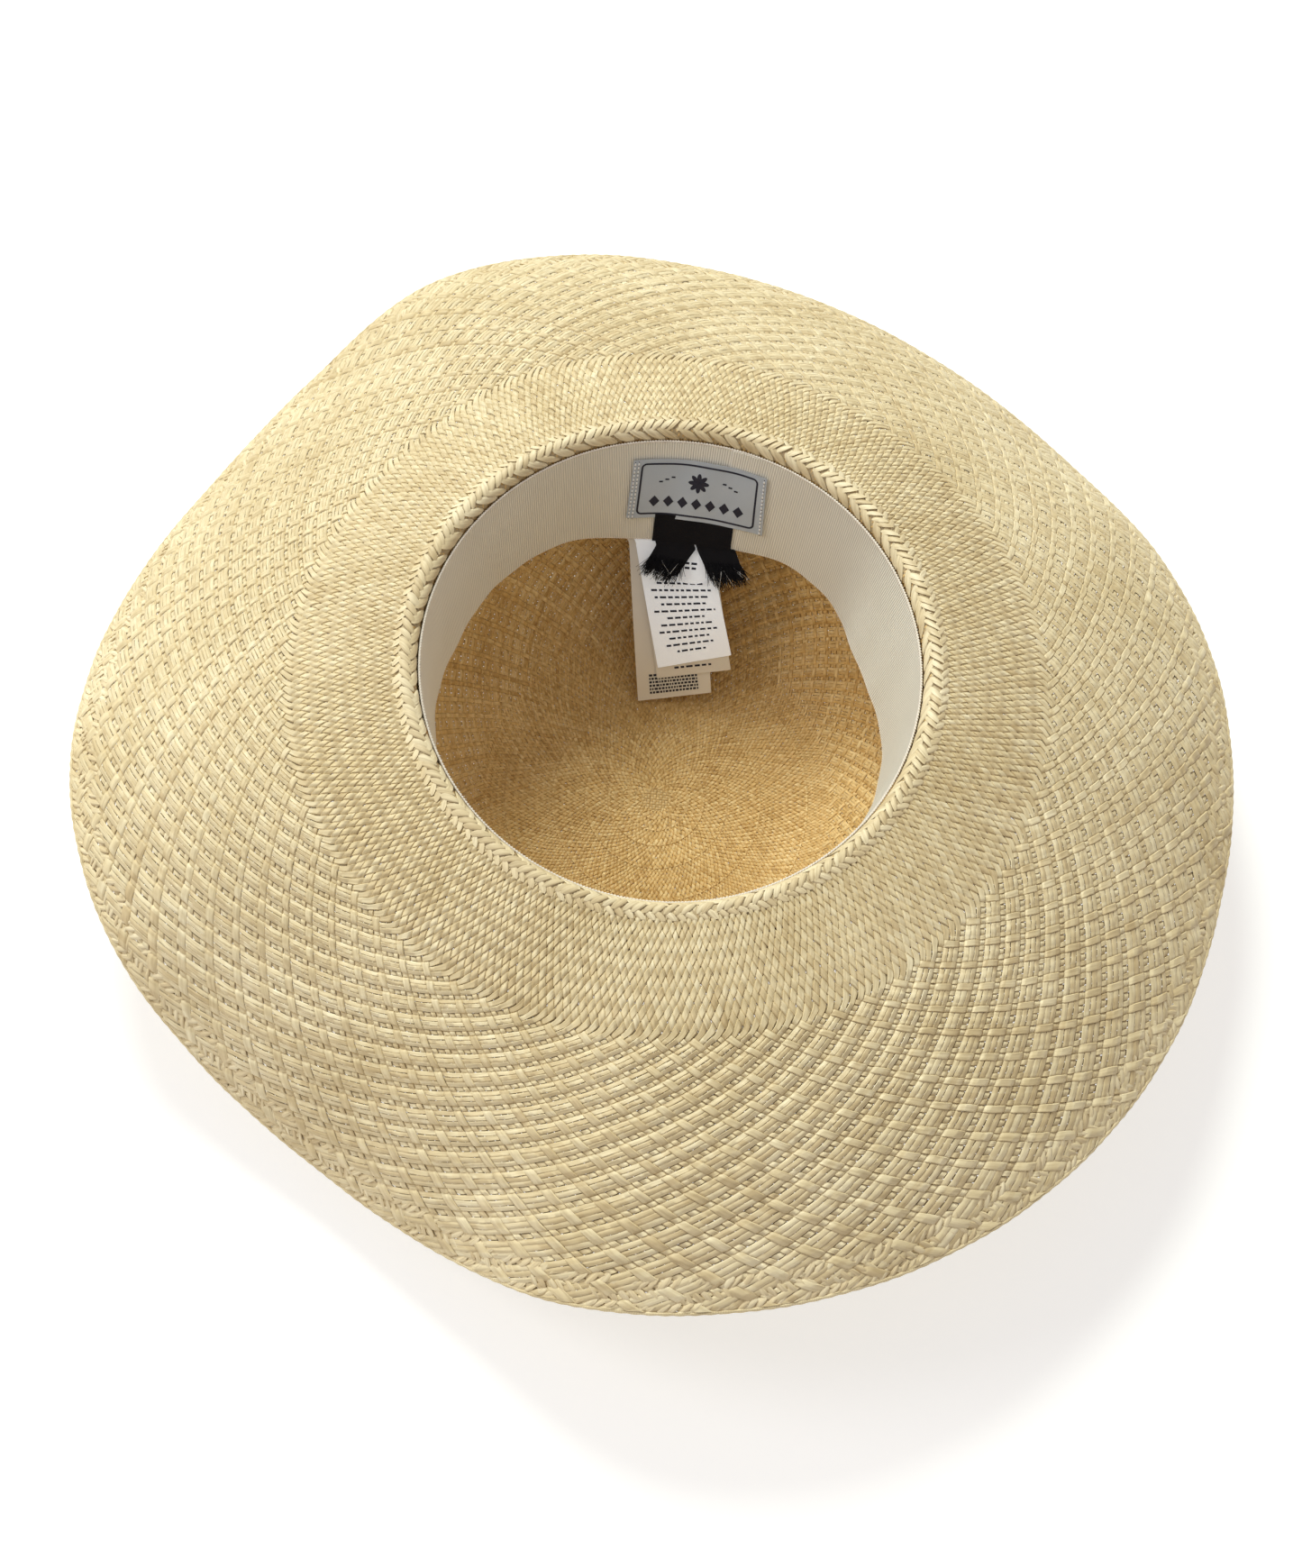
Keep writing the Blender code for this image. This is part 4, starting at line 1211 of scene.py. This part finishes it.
def build_ends(twill, loose):
    """Two ends of the hatband that leave the keeper towards the back, spreading and frayed."""
    rows, columns = 40, 16
    high = HATBAND_WIDTH * 0.52 - 2 * GAP
    size = (high, HATBAND_END_LENGTH)
    for name, side, seed in (("upper", 1, 121), ("lower", -1, 122)):
        def surface(across, along, lift, side=side):
            off_middle = side * (high / 2 + 2 * GAP + along * HATBAND_END_SPREAD)
            middle = HATBAND_TOP - HATBAND_WIDTH / 2 + off_middle
            theta = math.pi - (along - 0.2 * KEEPER_WIDTH) / OPENING_HALF_Y
            share = along / HATBAND_END_LENGTH
            wave = 0.5 * MM * share * np.sin(150 * along + 1.5 + side)
            curl = 0.5 * MM * (2 * across) ** 2 * share
            return wall_outside(theta, middle - across * high, 1.75 * MM + wave + curl + lift)

        ragged = chance(seed).uniform(0.90, 1.0, columns)[None]
        along = (HATBAND_END_LENGTH + 0.2 * KEEPER_WIDTH) * np.linspace(0, 1, rows)[:, None] * ragged
        across = np.linspace(-0.5, 0.5, columns)[None]
        node = f"hatband_end_{name}"
        front, back = (surface(across, along, lift) for lift in (0.2 * MM, -0.2 * MM))
        cloth = cloth_piece(f"{node}_cloth", front, back, twill, size, stands_for=(node,),
                            slot="hatband_black")
        random = chance(seed + 10)
        ends = [(place, random.uniform(0.86, 0.97) * HATBAND_END_LENGTH)
                for place in random.uniform(-0.49, 0.49, 260)]
        fray = fringe(f"{node}_fray", surface, ends, 4.5 * MM, 0.06, 0.26 * MM, 0.6 * MM, seed + 20, loose,
                      "hatband_black")


# ---------------------------------------------------------------- stage, camera and order of building

def build_stage():
    scene = bpy.context.scene
    scene.view_settings.view_transform = "Standard"
    white = Shader("floor_white", 0.9, 0.1)
    white.join(white.surface, {"Base Color": (0.60, 0.60, 0.60), "Emission Color": (1, 1, 1),
                               "Emission Strength": 0.58})
    reach = 60.0
    mesh = bpy.data.meshes.new("floor")
    mesh.from_pydata([(-reach, -reach, 0), (reach, -reach, 0), (reach, reach, 0), (-reach, reach, 0)], [],
                     [(0, 1, 2, 3)])
    mesh.materials.append(white.material)
    floor = bpy.data.objects.new("floor", mesh)
    scene.collection.objects.link(floor)
    scene.world = bpy.data.worlds.new("studio")
    scene.world.use_nodes = True
    background = scene.world.node_tree.nodes["Background"]
    background.inputs["Color"].default_value = (1.0, 0.925, 0.87, 1)
    background.inputs["Strength"].default_value = 0.47
    add_light("key", (-0.74, 1.62, 2.02), (0.93, 1.0, 0.91), 1.0, 57.5)
    add_light("side", (-1.6, -0.1, 1.35), (1.0, 0.99, 0.96), 0.9, 11.5)


def add_light(name, place, colour, size, power):
    """Round soft light that faces the hat."""
    data = bpy.data.lights.new(name, "AREA")
    data.color = colour
    data.shape = "DISK"
    data.size = size
    data.energy = power
    light = bpy.data.objects.new(name, data)
    light.location = place
    light.rotation_mode = "QUATERNION"
    light.rotation_quaternion = (Vector((0, 0, 0.05)) - Vector(place)).to_track_quat("-Z", "Y")
    bpy.context.scene.collection.objects.link(light)


def build_camera():
    target = Vector((-0.0025, -0.0512, 0.090))
    elevation, roll, away = math.radians(57), math.radians(6), 0.750
    back = Vector((0, -math.cos(elevation), math.sin(elevation)))
    right = Vector((1, 0, 0))
    up = back.cross(right)
    across = right * math.cos(roll) + up * math.sin(roll)
    upright = back.cross(across)
    data = bpy.data.cameras.new("camera")
    data.sensor_fit = "AUTO"
    data.sensor_width = 36
    data.lens = 53.54
    camera = bpy.data.objects.new("camera", data)
    turned = Matrix((across, upright, back)).transposed().to_4x4()
    camera.matrix_world = Matrix.Translation(target + back * away) @ turned
    bpy.context.scene.collection.objects.link(camera)
    bpy.context.scene.camera = camera


def build_lining():
    fine, coarse = (0.35 * MM, 0.5 * MM), (0.35 * MM, 0.6 * MM)
    ribbon = cloth_material("ribbon_cream", (0.90, 0.87, 0.775), (0.83, 0.79, 0.69), 0.62,
                            (BAND_LENGTH / BAND_RIBS, 1.0), 0.2, ribbed=True, valley=0.70)
    edge = thread_material("ribbon_edge", (0.88, 0.82, 0.74), (0.74, 0.67, 0.58), 0.6)
    satin = cloth_material("satin_label", (0.54, 0.60, 0.68), (0.44, 0.50, 0.58), 0.30, coarse, 0.3, 0.3,
                           mottle=90.0)
    care = cloth_material("satin_care", (0.91, 0.94, 0.99), (0.87, 0.90, 0.95), 0.4, fine, 0.2, 0.3)
    # Cream satin of the middle and back leaves: partly their own cream tone, partly painted shade, darker than
    # the front leaf so they read as lying behind it.
    shaded_cream = cloth_material("satin_care_back", (0.84, 0.79, 0.71), (0.79, 0.73, 0.64), 0.45, fine, 0.2, 0.3)
    # Painted light: the white care satin of the front leaf, the size tag and the sewn root glows slightly, so
    # it reads brighter as if lit.
    set_surface(care, Emission_Color=(0.95, 0.97, 1.0, 1), Emission_Strength=0.18)
    thread = thread_material("thread_white", (0.90, 0.90, 0.89), (0.78, 0.78, 0.78), 0.55)
    ink = thread_material("print_dark", (0.012, 0.014, 0.030), (0.03, 0.03, 0.05), 0.6)
    twill = cloth_material("tape_black", (0.006, 0.006, 0.008), (0.014, 0.013, 0.015), 0.92,
                           (0.9 * MM, 0.7 * MM), bump_strength=0.8)
    set_surface(twill, Specular_IOR_Level=0.15)
    loose = thread_material("thread_black", (0.005, 0.005, 0.007), (0.016, 0.016, 0.019), 0.9, 0.15)
    build_sweatband(ribbon, edge)
    build_label(satin, thread, ink)
    build_tape(twill, loose, thread)
    build_tag(care, ink)
    build_leaves(care, shaded_cream, ink)
    build_hatband(twill, loose)
    build_root(care)


build_camera()
build_stage()
build_straw()
build_lining()
